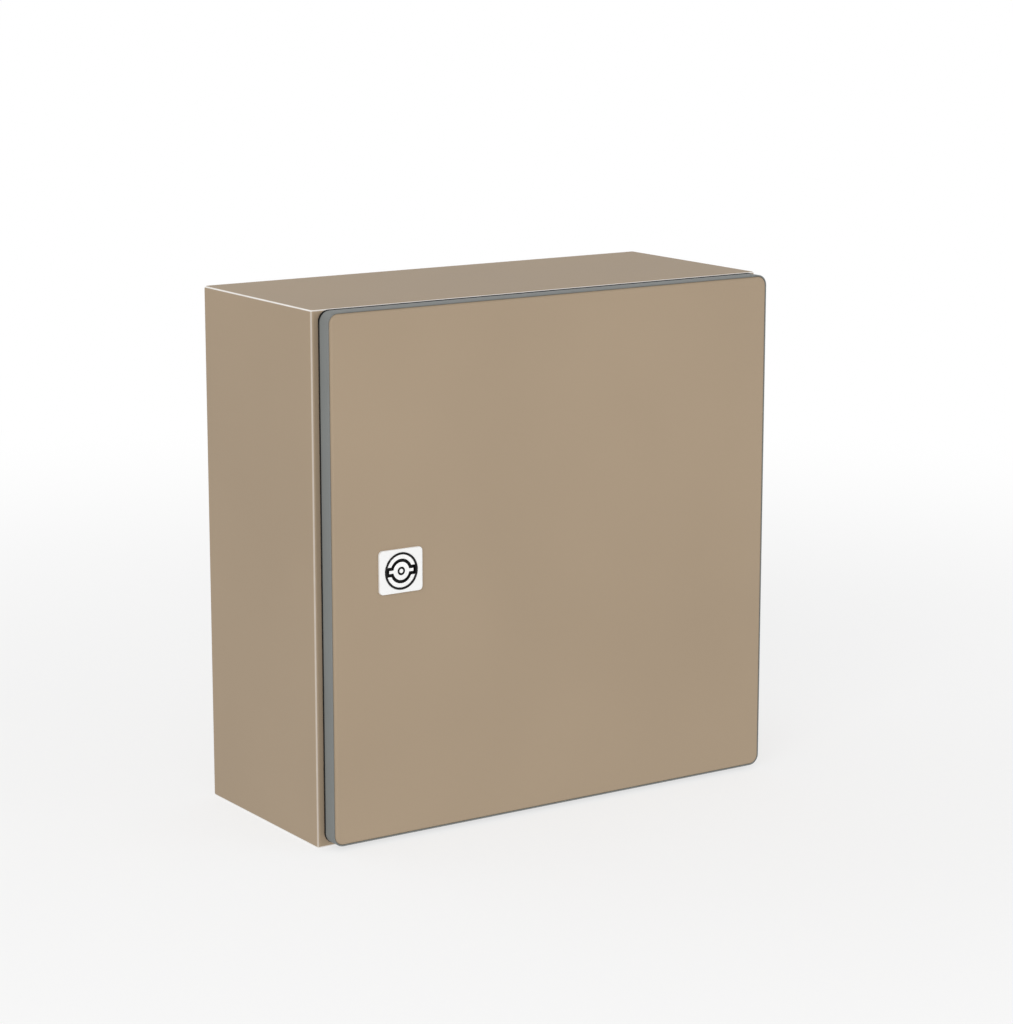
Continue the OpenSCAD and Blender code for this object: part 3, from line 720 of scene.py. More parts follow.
class Bench:
    """Modelling steps, each on one object at a time."""

    MERGE_WITHIN: ClassVar[float] = 0.001 * MM
    SHARP_ANGLE: ClassVar[float] = math.radians(50)

    @staticmethod
    def clear() -> None:
        """Leave nothing selected."""
        bpy.ops.object.select_all(action="DESELECT")

    @staticmethod
    def only(piece: bpy.types.Object) -> None:
        """Select one object alone and make it active.

        Args:
            piece: The object.
        """
        Bench.clear()
        piece.select_set(True)
        bpy.context.view_layer.objects.active = piece

    @staticmethod
    def take(name: str) -> bpy.types.Object:
        """Name the primitive that was just added.

        Args:
            name: Its name.

        Returns:
            The new object.
        """
        piece = bpy.context.object
        piece.name = piece.data.name = name
        return piece

    @staticmethod
    def settle(piece: bpy.types.Object) -> None:
        """Put an object's place, turn and size into its mesh."""
        Bench.only(piece)
        bpy.ops.object.transform_apply(location=True, rotation=True, scale=True)

    @staticmethod
    def stand(piece: bpy.types.Object, place: Place, turn: Place) -> None:
        """Move and turn an object that was modelled at the origin.

        Args:
            piece: The object.
            place: Where its origin goes.
            turn: Its angles.
        """
        piece.location = place
        piece.rotation_euler = Euler(turn)
        Bench.settle(piece)

    @staticmethod
    @contextmanager
    def editing(piece: bpy.types.Object) -> Iterator[None]:
        """Hold an object in edit mode, with everything in it selected at first.

        Args:
            piece: The object.

        Returns:
            A context in which the object is edited.
        """
        Bench.only(piece)
        bpy.ops.object.mode_set(mode="EDIT")
        bpy.ops.mesh.select_all(action="SELECT")
        yield
        bpy.ops.object.mode_set(mode="OBJECT")

    @staticmethod
    def pick(piece: bpy.types.Object, kind: Pick, test: Callable[[Any], bool]) -> None:
        """Select in edit mode what passes a test.

        Args:
            piece: The object in edit mode.
            kind: What is selected.
            test: Says of one vertex, edge or face whether it is picked.
        """
        bpy.ops.mesh.select_mode(type=kind.value)
        bpy.ops.mesh.select_all(action="DESELECT")
        mesh = bmesh.from_edit_mesh(piece.data)
        items = {Pick.VERT: mesh.verts, Pick.EDGE: mesh.edges, Pick.FACE: mesh.faces}[kind]
        for item in items:
            if test(item):
                item.select_set(True)
        mesh.select_flush_mode()
        bmesh.update_edit_mesh(piece.data)

    @staticmethod
    def push(step: Place) -> None:
        """Extrude what is selected by a step."""
        bpy.ops.mesh.extrude_region_move(TRANSFORM_OT_translate={"value": step})

    @staticmethod
    def finish(piece: bpy.types.Object, kind: str, settings: Settings) -> None:
        """Add a modifier and apply it.

        Args:
            piece: The object.
            kind: The modifier's type.
            settings: Its settings.
        """
        Bench.only(piece)
        modifier = piece.modifiers.new(kind.title(), kind)
        for name, value in settings.items():
            setattr(modifier, name, value)
        bpy.ops.object.modifier_apply(modifier=modifier.name)

    @staticmethod
    def round_edges(piece: bpy.types.Object, radius: float, faces: int = 3) -> None:
        """Round an object's sharp edges.

        Args:
            piece: The object.
            radius: Width of the rounding.
            faces: Faces across it.
        """
        Bench.finish(piece, "BEVEL", {
            "width": radius, "segments": faces, "limit_method": "ANGLE", "angle_limit": Bench.SHARP_ANGLE,
        })

    @staticmethod
    def outwards(piece: bpy.types.Object) -> None:
        """Merge doubles and point all faces outwards.

        Args:
            piece: The object.
        """
        with Bench.editing(piece):
            bpy.ops.mesh.remove_doubles(threshold=Bench.MERGE_WITHIN)
            bpy.ops.mesh.normals_make_consistent(inside=False)

    @staticmethod
    def close_ends(piece: bpy.types.Object) -> None:
        """Fill the open ends of an object.

        Args:
            piece: The object.
        """
        with Bench.editing(piece):
            bpy.ops.mesh.select_mode(type="EDGE")
            bpy.ops.mesh.select_all(action="DESELECT")
            bpy.ops.mesh.select_non_manifold()
            bpy.ops.mesh.fill_holes(sides=0)

    @staticmethod
    def split(piece: bpy.types.Object, cuts: Sequence[tuple[Place, Place]]) -> None:
        """Cut an object's faces along planes.

        Args:
            piece: The object.
            cuts: A point and a normal for each plane.
        """
        for point, normal in cuts:
            with Bench.editing(piece):
                bpy.ops.mesh.bisect(plane_co=point, plane_no=normal)

    @staticmethod
    def remove(piece: bpy.types.Object, test: Callable[[Vector], bool]) -> None:
        """Take out the faces whose middles pass a test, and close the ends.

        Args:
            piece: The object.
            test: Says of a face's middle whether it goes.
        """
        with Bench.editing(piece):
            Bench.pick(piece, Pick.FACE, lambda face: test(face.calc_center_median()))
            bpy.ops.mesh.delete(type="FACE")
        Bench.close_ends(piece)
        Bench.outwards(piece)

    @staticmethod
    def smooth(piece: bpy.types.Object, degrees: float) -> None:
        """Shade an object smooth where its faces meet at less than an angle."""
        Bench.only(piece)
        bpy.ops.object.shade_smooth_by_angle(angle=math.radians(degrees))

    @staticmethod
    def join(pieces: Sequence[bpy.types.Object]) -> None:
        """Join objects into the first of them.

        Args:
            pieces: The objects.
        """
        Bench.only(pieces[0])
        for piece in pieces:
            piece.select_set(True)
        if len(pieces) > 1:
            bpy.ops.object.join()

    @staticmethod
    def copies(piece: bpy.types.Object, spots: Sequence[tuple[Place, Place]]) -> None:
        """Set copies of an object at places and join them into the object itself.

        Args:
            piece: The object, modelled at the origin.
            spots: Place and turn of each copy.
        """
        made = [piece]
        for _ in spots[1:]:
            Bench.only(piece)
            bpy.ops.object.duplicate(linked=False)
            made.append(bpy.context.object)
        for copy, (place, turn) in zip(made, spots):
            Bench.stand(copy, place, turn)
        Bench.join(made)


def turned(name: str, profile: Sequence[tuple[float, float]], segments: int) -> bpy.types.Object:
    """Model a turned piece upwards from its foot, ring by ring.

    Args:
        name: The piece's name.
        profile: Heights and radii from the foot to the tip.
        segments: Corners of each ring.

    Returns:
        The closed piece, standing on the origin along +Z.
    """
    Bench.clear()
    base, radius = profile[0]
    bpy.ops.mesh.primitive_circle_add(
        vertices=segments, radius=radius, fill_type="NGON", location=(0.0, 0.0, base)
    )
    piece = Bench.take(name)
    Bench.settle(piece)
    with Bench.editing(piece):
        for (low, before), (high, after) in zip(profile, profile[1:]):
            Bench.push((0.0, 0.0, high - low))
            scale = after / before
            bpy.ops.transform.resize(value=(scale, scale, 1.0), center_override=(0.0, 0.0, high))
    Bench.outwards(piece)
    return piece


def rectangle(name: str, size: tuple[float, float], place: Place, facing: Facing) -> bpy.types.Object:
    """Add a flat rectangle.

    Args:
        name: The piece's name.
        size: Its width and height.
        place: Its middle.
        facing: The way in which it points.

    Returns:
        One flat face, with its place in its mesh.
    """
    Bench.clear()
    bpy.ops.mesh.primitive_plane_add(size=1.0, location=place, rotation=facing.value)
    piece = Bench.take(name)
    piece.scale = (*size, 1.0)
    Bench.settle(piece)
    return piece


def round_corners(piece: bpy.types.Object, radius: float, faces: int) -> None:
    """Round the corners of a flat face.

    Args:
        piece: The object.
        radius: Radius of the corners.
        faces: Edges in each corner.
    """
    with Bench.editing(piece):
        bpy.ops.mesh.bevel(offset_type="OFFSET", offset=radius, segments=faces, affect="VERTICES")


def dress(piece: bpy.types.Object, material: bpy.types.Material) -> None:
    """Give an object one material in place of what it has."""
    piece.data.materials.clear()
    piece.data.materials.append(material)


def stand_for(
    piece: bpy.types.Object, node: str, body: Body, material: bpy.types.Material
) -> None:
    """Dress a piece and let it stand for a CAD node.

    Args:
        piece: The finished object.
        node: The node that it replaces.
        body: The body that it rides on.
        material: Its finish.
    """
    dress(piece, material)
    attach(piece, body.value)
    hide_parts(node)
    LOG.info("%s stands for %s: %d faces", piece.name, node, len(piece.data.polygons))


# Soft profiles and gaskets


@dataclass
class EdgeRing:
    """A profile that runs round a rounded rectangle in the door's plane."""

    CORNER_FACES: ClassVar[int] = 10
    LEAST_FACING: ClassVar[float] = 0.5

    name: str
    node: str
    slot: Slot
    centre: tuple[float, float]
    width: float
    height: float
    corner_r: float
    back: float

    def outline(self, insets: Sequence[float]) -> bpy.types.Object:
        """Draw the outline and inset it into rings.

        Args:
            insets: Widths of the rings, from the outside inwards.

        Returns:
            The flat rings, open in the middle.
        """
        middle = (self.centre[0], self.back, self.centre[1])
        piece = rectangle(self.name, (self.width, self.height), middle, Facing.FRONT)
        round_corners(piece, self.corner_r, self.CORNER_FACES)
        with Bench.editing(piece):
            for inset in insets:
                bpy.ops.mesh.inset(thickness=inset, depth=0.0, use_boundary=True, use_even_offset=True)
            bpy.ops.mesh.delete(type="FACE")
        return piece

    def rise(self, piece: bpy.types.Object, low: float, high: float, step: float) -> None:
        """Extrude the faces of one ring towards the front or the back.

        Args:
            piece: The object in edit mode.
            low: Least distance of the ring from the outline.
            high: Greatest distance of the ring from the outline.
            step: Travel along Y.
        """
        facing = -1.0 if step < 0 else 1.0

        def in_ring(face: bmesh.types.BMFace) -> bool:
            """Say whether a face lies in the ring and looks the right way."""
            reach = self.reach(face.calc_center_median())
            return low < reach < high and face.normal.y * facing > self.LEAST_FACING

        Bench.pick(piece, Pick.FACE, in_ring)
        Bench.push((0.0, step, 0.0))

    def reach(self, point: Vector) -> float:
        """Measure how far a point lies inside the outline.

        Args:
            point: The point.

        Returns:
            Its distance from the outline.
        """
        dx = abs(point.x - self.centre[0]) - (self.width / 2 - self.corner_r)
        dz = abs(point.z - self.centre[1]) - (self.height / 2 - self.corner_r)
        if dx > 0 and dz > 0:
            return self.corner_r - math.hypot(dx, dz)
        return self.corner_r - max(dx, dz)


@dataclass
class EdgeTrim(EdgeRing):
    """Grey edge profile, clipped over the door's folded return, with its ends butted below."""

    leg_t: float = 1.45 * MM
    slot_w: float = 1.6 * MM
    inner_t: float = 1.2 * MM
    web_t: float = 1.5 * MM
    outer_h: float = 14.6 * MM
    inner_h: float = 6 * MM
    round_r: float = 0.45 * MM
    joint_w: float = 0.35 * MM

    def build(self, material: bpy.types.Material) -> None:
        """Model the profile.

        Args:
            material: The rubber's finish.
        """
        piece = self.outline([self.leg_t, self.slot_w, self.inner_t])
        inner = self.leg_t + self.slot_w
        with Bench.editing(piece):
            Bench.push((0.0, -self.web_t, 0.0))
        Bench.outwards(piece)
        with Bench.editing(piece):
            self.rise(piece, 0.0, self.leg_t, self.web_t - self.outer_h)
            self.rise(piece, inner, inner + self.inner_t, self.web_t - self.inner_h)
        Bench.outwards(piece)
        Bench.round_edges(piece, self.round_r)
        middle, half = self.centre[0], self.joint_w / 2
        Bench.split(piece, [((middle + side * half, 0.0, 0.0), (1.0, 0.0, 0.0)) for side in (-1, 1)])
        Bench.remove(piece, lambda point: abs(point.x - middle) < half and point.z < self.centre[1])
        Bench.smooth(piece, degrees=40.0)
        stand_for(piece, self.node, Body.DOOR, material)


@dataclass
class SpongeLip(EdgeRing):
    """Black sponge strip behind the trim, left open at the two hinges."""

    strip_w: float = 4.05 * MM
    strip_h: float = 3.6 * MM
    round_r: float = 1.2 * MM
    round_faces: int = 4
    hinge_z: float = 160 * MM
    hinge_gap: float = 61.5 * MM

    def build(self, material: bpy.types.Material) -> None:
        """Model the strip.

        Args:
            material: The sponge's finish.
        """
        piece = self.outline([self.strip_w])
        with Bench.editing(piece):
            Bench.push((0.0, -self.strip_h, 0.0))
        Bench.outwards(piece)
        Bench.round_edges(piece, self.round_r, self.round_faces)
        half = self.hinge_gap / 2
        ends = [side * self.hinge_z + end * half for side in (-1, 1) for end in (-1, 1)]
        Bench.split(piece, [((0.0, 0.0, end), (0.0, 0.0, 1.0)) for end in ends])
        Bench.remove(
            piece, lambda point: point.x > self.centre[0] and abs(abs(point.z) - self.hinge_z) < half
        )
        Bench.smooth(piece, degrees=40.0)
        stand_for(piece, self.node, Body.DOOR, material)


@dataclass
class FoamBead(EdgeRing):
    """Poured foam gasket on the inside of the door: a crowned bead, slightly uneven."""

    LEVEL_WITHIN: ClassVar[float] = 0.01 * MM
    SHOULDER_ANGLE: ClassVar[float] = math.radians(45)

    bead_w: float = 14 * MM
    bead_h: float = 8.2 * MM
    crown: float = 4.6 * MM
    crown_faces: int = 6
    long_edge: float = 100 * MM
    run_cuts: int = 56
    unevenness: float = 0.5 * MM
    wave_size: float = 26 * MM
    wave_detail: int = 2
    sink_gain: float = 1.6
    sink_start: float = 0.2

    def build(self, material: bpy.types.Material) -> None:
        """Model the bead.

        Args:
            material: The foam's finish.
        """
        piece = self.outline([self.bead_w])
        with Bench.editing(piece):
            Bench.push((0.0, self.bead_h, 0.0))
        Bench.outwards(piece)
        top = self.back + self.bead_h
        with Bench.editing(piece):
            Bench.pick(piece, Pick.EDGE, lambda edge: self._is_shoulder(edge, top))
            bpy.ops.mesh.bevel(offset=self.crown, segments=self.crown_faces, affect="EDGES")
            Bench.pick(piece, Pick.EDGE, lambda edge: edge.calc_length() > self.long_edge)
            bpy.ops.mesh.subdivide(number_cuts=self.run_cuts)
        self._roughen(piece, top)
        Bench.outwards(piece)
        Bench.smooth(piece, degrees=60.0)
        stand_for(piece, self.node, Body.DOOR, material)

    def _is_shoulder(self, edge: bmesh.types.BMEdge, top: float) -> bool:
        """Say whether an edge lies between the bead's top and one of its sides."""
        level = all(abs(vert.co.y - top) < self.LEVEL_WITHIN for vert in edge.verts)
        return level and edge.calc_face_angle(0.0) > self.SHOULDER_ANGLE

    def _roughen(self, piece: bpy.types.Object, top: float) -> None:
        """Sink the crown unevenly, as foam does when it sets.

        Args:
            piece: The object.
            top: Height of the crown.
        """
        group = piece.vertex_groups.new(name="crown")
        for vert in piece.data.vertices:
            above = (vert.co.y - self.back) / (top - self.back)
            weight = min(1.0, max(0.0, self.sink_gain * above - self.sink_start))
            group.add([vert.index], weight, "REPLACE")
        waves = bpy.data.textures.new("foam_waves", "CLOUDS")
        waves.noise_scale = self.wave_size
        waves.noise_depth = self.wave_detail
        Bench.finish(piece, "DISPLACE", {
            "texture": waves, "texture_coords": "LOCAL", "strength": self.unevenness,
            "mid_level": 1.0, "vertex_group": group.name,
        })
        piece.vertex_groups.clear()


@dataclass
class PressedGasket:
    """Flat foam gasket, pressed between two plates so that its free edges bulge."""

    CORNER_FACES: ClassVar[int] = 8
    HOLE_FACES: ClassVar[int] = 40

    name: str
    node: str
    slot: Slot
    body: Body
    facing: Facing
    middle: Place
    size: tuple[float, float]
    corner_r: float
    thick: float
    round_r: float
    opening: tuple[float, float]
    holes: Sequence[tuple[float, float, float]]

    def build(self, material: bpy.types.Material) -> None:
        """Model the gasket lying on the origin, then set it in its place.

        Args:
            material: The foam's finish.
        """
        piece = self._slab(self.name, self.size, 0.0, self.thick)
        cutter = self._cutter()
        Bench.finish(piece, "BOOLEAN", {"operation": "DIFFERENCE", "object": cutter, "solver": "EXACT"})
        Bench.only(cutter)
        bpy.ops.object.delete()
        Bench.outwards(piece)
        Bench.round_edges(piece, self.round_r)
        Bench.stand(piece, self.middle, self.facing.value)
        Bench.smooth(piece, degrees=40.0)
        stand_for(piece, self.node, self.body, material)

    def _slab(self, name: str, size: tuple[float, float], low: float, high: float) -> bpy.types.Object:
        """Model a plain slab with round corners.

        Args:
            name: The slab's name.
            size: Its sizes along X and Y.
            low: Height of its lower face.
            high: Height of its upper face.

        Returns:
            The closed slab.
        """
        slab = rectangle(name, size, (0.0, 0.0, low), Facing.TOP)
        round_corners(slab, self.corner_r, self.CORNER_FACES)
        with Bench.editing(slab):
            Bench.push((0.0, 0.0, high - low))
        Bench.outwards(slab)
        return slab

    def _cutter(self) -> bpy.types.Object:
        """Model what is cut out: the holes and, where there is one, the opening.

        Returns:
            One object that stands proud of the gasket on both sides.
        """
        made = []
        if min(self.opening) > 0:
            made.append(self._slab(self.name + "_cut", self.opening, -self.thick, 2 * self.thick))
        for x, y, radius in self.holes:
            Bench.clear()
            bpy.ops.mesh.primitive_cylinder_add(
                vertices=self.HOLE_FACES, radius=radius, depth=4 * self.thick, location=(x, y, 0.0)
            )
            made.append(Bench.take(self.name + "_cut"))
            Bench.settle(made[-1])
        Bench.join(made)
        return made[0]


# Threads and welds


@dataclass
class ThreadedStuds:
    """Welded studs with real threads in place of plain cylinders."""

    SEGMENTS: ClassVar[int] = 32

    # Shares of the pitch
    DEPTH: ClassVar[float] = 0.58
    CHAMFER: ClassVar[float] = 0.9
    TIP_STEP: ClassVar[float] = 0.5
    SUNK: ClassVar[float] = 0.1
    START: ClassVar[float] = 0.6
    ROOT_W: ClassVar[float] = 0.92

    # Width of the ridge's crest as a share of its root
    CREST_W: ClassVar[float] = 0.16

    name: str
    node: str
    slot: Slot
    body: Body
    facing: Facing
    thread_d: float
    pitch: float
    foot_d: float
    foot_h: float
    length: float
    places: Sequence[Place]

    def build(self, material: bpy.types.Material) -> None:
        """Model one stud, copy it to its places and dress it.

        Args:
            material: The studs' finish.
        """
        crest = self.thread_d / 2
        core = crest - self.DEPTH * self.pitch
        chamfer = self.CHAMFER * self.pitch
        profile = [
            (0.0, self.foot_d / 2),
            (self.foot_h, self.foot_d / 2),
            (self.foot_h, core),
            (self.length - chamfer, core),
            (self.length, core - self.TIP_STEP * self.pitch),
        ]
        stud = turned(self.name, profile, self.SEGMENTS)
        Bench.join([stud, self._coil(core, crest, chamfer)])
        Bench.smooth(stud, degrees=35.0)
        Bench.copies(stud, [(place, self.facing.value) for place in self.places])
        stand_for(stud, self.node, self.body, material)

    def _coil(self, core: float, crest: float, chamfer: float) -> bpy.types.Object:
        """Wind the thread's ridge round the core.

        Args:
            core: Radius of the core.
            crest: Radius of the ridge's crest.
            chamfer: Length of the chamfered tip, which the ridge leaves free.

        Returns:
            The closed ridge.
        """
        sunk = core - self.SUNK * self.pitch
        turns = max(2, int((self.length - chamfer - self.foot_h) / self.pitch) - 1)
        middle = ((sunk + crest) / 2, 0.0, self.foot_h + self.START * self.pitch)
        size = (crest - sunk, self.ROOT_W * self.pitch)
        ridge = rectangle(self.name + "_ridge", size, middle, Facing.FRONT)
        with Bench.editing(ridge):
            Bench.pick(ridge, Pick.VERT, lambda vert: vert.co.x > middle[0])
            bpy.ops.transform.resize(value=(1.0, 1.0, self.CREST_W), center_override=middle)
            bpy.ops.mesh.select_all(action="SELECT")
            bpy.ops.mesh.delete(type="ONLY_FACE")
        Bench.finish(ridge, "SCREW", {
            "axis": "Z", "angle": 2 * math.pi, "screw_offset": self.pitch, "iterations": turns,
            "steps": self.SEGMENTS, "render_steps": self.SEGMENTS,
        })
        Bench.close_ends(ridge)
        Bench.outwards(ridge)
        return ridge


@dataclass
class WeldStitches:
    """Short rippled weld beads, coated over."""

    SEGMENTS: ClassVar[int] = 14

    # Shares of the bead's radius at its ends, between two ripples and on the run-in
    END: ClassVar[float] = 0.35
    DIP: ClassVar[float] = 0.88
    RUN_IN: ClassVar[float] = 0.55
    RUN_IN_STEP: ClassVar[float] = 0.25

    name: str
    body: Body
    length: float
    radius: float
    ripple: float
    spots: Sequence[tuple[Place, Place]]

    def build(self, material: bpy.types.Material) -> None:
        """Model one bead, copy it to its places and dress it.

        Args:
            material: The coat's finish.
        """
        count = int(self.length / self.ripple)
        profile = [(-self.length / 2, self.END * self.radius)]
        for i in range(1, count):
            swell = 1.0 if i % 2 else self.DIP
            end = min(1.0, self.RUN_IN + self.RUN_IN_STEP * min(i, count - i))
            profile.append((self.length * (i / count - 0.5), self.radius * swell * end))
        profile.append((self.length / 2, self.END * self.radius))
        bead = turned(self.name, profile, self.SEGMENTS)
        Bench.finish(bead, "SUBSURF", {"levels": 1, "render_levels": 1})
        Bench.smooth(bead, degrees=60.0)
        Bench.copies(bead, self.spots)
        dress(bead, material)
        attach(bead, self.body.value)
        LOG.info("%s: %d beads", bead.name, len(self.spots))


# The cabinet


class Cabinet:
    """The whole cabinet: finishes on its nodes and the pieces added to them."""

    FINISHES: ClassVar[Sequence[Finish]] = (
        PowderCoat("powder_coat", Slot.POWDER_COAT),
        RubberProfile("edge_rubber", Slot.TRIM_GREY),
        CellFoam(
            "sponge_rubber", Slot.SPONGE_BLACK,
            colour=(0.012, 0.012, 0.012), cell_scale=1500.0, relief_depth=0.08 * MM,
        ),
        CellFoam("gasket_foam", Slot.FOAM),
        MouldedPlastic("lock_white", Slot.LOCK_WHITE),
        MouldedPlastic(
            "lock_black", Slot.LOCK_BLACK,
            colour=(0.010, 0.010, 0.010), shades=(0.8, 1.0), roughness=0.55, specular=0.15,
        ),
        TurnedNickel("core_nickel", Slot.NICKEL),
        PlatedMetal("zinc_plate", Slot.ZINC),
        GalvanisedSheet("galvanised_sheet", Slot.GALVANISED),
        PlatedMetal(
            "brass", Slot.BRASS,
            first=(0.52, 0.38, 0.15), second=(0.40, 0.27, 0.10), roughness=0.32, patch_scale=70.0,
        ),
    )
    # The shell's coat has painted highlights on its outside folds: strongest on the depth folds, then the
    # top folds, weakest on the sides
    SHELL_FINISH: ClassVar[PowderCoat] = PowderCoat(
        "powder_coat_shell", Slot.POWDER_COAT, depth_highlight=0.95, side_highlight=0.36, top_highlight=0.85
    )
    SHELL: ClassVar[str] = "body_shell"
    LIP_BULGE: ClassVar[float] = 0.6 * MM

    def __init__(self) -> None:
        """Make the finishes."""
        self.materials = {finish.slot: finish.make() for finish in self.FINISHES}
        self.shell_material = self.SHELL_FINISH.make()

    def dress_nodes(self) -> None:
        """Give every CAD node the finish of its slot."""
        for part in frame["record"]["subparts"]:
            node = frame["nodes"][part["node"]]
            material = self.materials[Slot(part["material_slot"])]
            dress(node, self.shell_material if part["node"] == self.SHELL else material)
            LOG.info("%s wears %s", part["node"], node.data.materials[0].name)

    def build_soft_profiles(self) -> None:
        """Build the trim, the sponge lip and the foam bead in the space of their nodes."""
        low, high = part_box("door_edge_trim")
        middle = ((low.x + high.x) / 2, (low.z + high.z) / 2)
        EdgeTrim(
            "trim_profile", "door_edge_trim", Slot.TRIM_GREY, centre=middle,
            width=high.x - low.x, height=high.z - low.z, corner_r=10.5 * MM, back=high.y,
        ).build(self.materials[Slot.TRIM_GREY])
        low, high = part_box("door_edge_lip")
        SpongeLip(
            "sponge_strip", "door_edge_lip", Slot.SPONGE_BLACK, centre=middle, width=high.x - low.x,
            height=high.z - low.z + 2 * self.LIP_BULGE, corner_r=10.3 * MM, back=high.y,
        ).build(self.materials[Slot.SPONGE_BLACK])
        low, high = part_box("door_gasket")
        FoamBead(
            "foam_bead", "door_gasket", Slot.FOAM, centre=((low.x + high.x) / 2, (low.z + high.z) / 2),
            width=high.x - low.x, height=high.z - low.z, corner_r=19.75 * MM, back=low.y,
        ).build(self.materials[Slot.FOAM])

    def build_gaskets(self) -> None:
        """Build the gaskets of the cable entry and of the lock."""
        stud_r, neck_r, screw_r = 2.9 * MM, 17.45 * MM, 2.4 * MM
        entry_holes = [(x, y, stud_r) for x in ENTRY_COLUMNS for y in ENTRY_ROWS]
        lock_holes = [(0.0, 0.0, neck_r)]
        lock_holes += [(x * MM, y * MM, screw_r) for x in (-18.3, 18.3) for y in (-15.8, 15.8)]
        for gasket in (
            PressedGasket(
                "entry_gasket", "gland_gasket", Slot.FOAM, Body.CABINET, Facing.TOP,
                middle=(0.0, ENTRY_Y, FLOOR_Z), size=(230 * MM, 110 * MM), corner_r=6 * MM,
                thick=2 * MM, round_r=0.9 * MM, opening=(200 * MM, 80 * MM), holes=entry_holes,
            ),
            PressedGasket(
                "lock_gasket", "lock_seal", Slot.SPONGE_BLACK, Body.DOOR, Facing.BACK,
                middle=(LOCK_X, DOOR_Y, LOCK_Z), size=(46 * MM, 41 * MM), corner_r=4 * MM,
                thick=1 * MM, round_r=0.4 * MM, opening=(0.0, 0.0), holes=lock_holes,
            ),
        ):
            gasket.build(self.materials[gasket.slot])

    def build_threads(self) -> None:
        """Build the studs of the mounting plate, the cable entry, the hinges and the earthing."""
        plate_ends = (-195 * MM, 195 * MM)
        for studs in (
            ThreadedStuds(
                "plate_stud_threads", "plate_studs", Slot.ZINC, Body.CABINET, Facing.FRONT,
                thread_d=8 * MM, pitch=1.25 * MM, foot_d=14 * MM, foot_h=13 * MM, length=28.6 * MM,
                places=[(x, REAR_Y, z) for x in plate_ends for z in plate_ends],
            ),
            ThreadedStuds(
                "gland_stud_threads", "gland_studs", Slot.ZINC, Body.CABINET, Facing.TOP,
                thread_d=5 * MM, pitch=0.8 * MM, foot_d=5 * MM, foot_h=1 * MM, length=12.5 * MM,
                places=[(x, ENTRY_Y + y, FLOOR_Z) for x in ENTRY_COLUMNS for y in ENTRY_ROWS],
            ),
            ThreadedStuds(
                "earth_stud_thread", "earth_stud", Slot.BRASS, Body.CABINET, Facing.LEFT,
                thread_d=8 * MM, pitch=1.25 * MM, foot_d=17.6 * MM, foot_h=2 * MM, length=22 * MM,
                places=[(SIDE_X, -150 * MM, -195 * MM)],
            ),
            ThreadedStuds(
                "hinge_stud_threads", "hinge_door_studs", Slot.ZINC, Body.DOOR, Facing.BACK,
                thread_d=4 * MM, pitch=0.7 * MM, foot_d=4 * MM, foot_h=0.8 * MM, length=8.8 * MM,
                places=[(236.6 * MM, DOOR_Y, z * MM) for z in (-166, -154, 154, 166)],
            ),
            ThreadedStuds(
                "door_earth_thread", "door_earth_stud", Slot.BRASS, Body.DOOR, Facing.BACK,
                thread_d=6 * MM, pitch=1 * MM, foot_d=13.2 * MM, foot_h=1.5 * MM, length=16 * MM,
                places=[(180.75 * MM, DOOR_Y, -171.75 * MM)],
            ),
        ):
            studs.build(self.materials[studs.slot])

    def build_welds(self) -> None:
        """Build the stitch welds of the rear panel and of the door's rails."""
        upright, level = Facing.TOP.value, Facing.RIGHT.value
        seam_y, wall, weld_y = -2.3 * MM, 247.7 * MM, -217.9 * MM
        spots = [-150 * MM, 0.0, 150 * MM]
        sides = [((side * wall, seam_y, spot), upright) for side in (-1, 1) for spot in spots]
        ends = [((spot, seam_y, side * wall), level) for side in (-1, 1) for spot in spots]
        rail_x, foot = 204.75, 8.6
        feet = [side * (rail_x + leg * foot) * MM for side in (-1, 1) for leg in (-1, 1)]
        rails = [((x, weld_y, z * MM), upright) for x in feet for z in (-165, -60, 60, 165)]
        for stitches in (
            WeldStitches(
                "rear_weld_stitches", Body.CABINET,
                length=30 * MM, radius=1.7 * MM, ripple=1.3 * MM, spots=sides + ends,
            ),
            WeldStitches(
                "rail_weld_stitches", Body.DOOR,
                length=16 * MM, radius=1.2 * MM, ripple=1.0 * MM, spots=rails,
            ),
        ):
            stitches.build(self.materials[Slot.POWDER_COAT])


# The studio


@dataclass(frozen=True)
class Lamp:
    """A soft area lamp that looks at the cabinet."""

    name: str
    place: Place
    size: tuple[float, float]
    power: float

    def hang(self, target: Vector) -> None:
        """Hang the lamp.

        Args:
            target: The point that it looks at.
        """
        Bench.clear()
        bpy.ops.object.light_add(type="AREA", location=self.place)
        lamp = bpy.context.object
        lamp.name = self.name
        lamp.data.shape = "RECTANGLE"
        lamp.data.size, lamp.data.size_y = self.size
        lamp.data.energy = self.power
        lamp.rotation_euler = (target - Vector(self.place)).to_track_quat("-Z", "Y").to_euler()


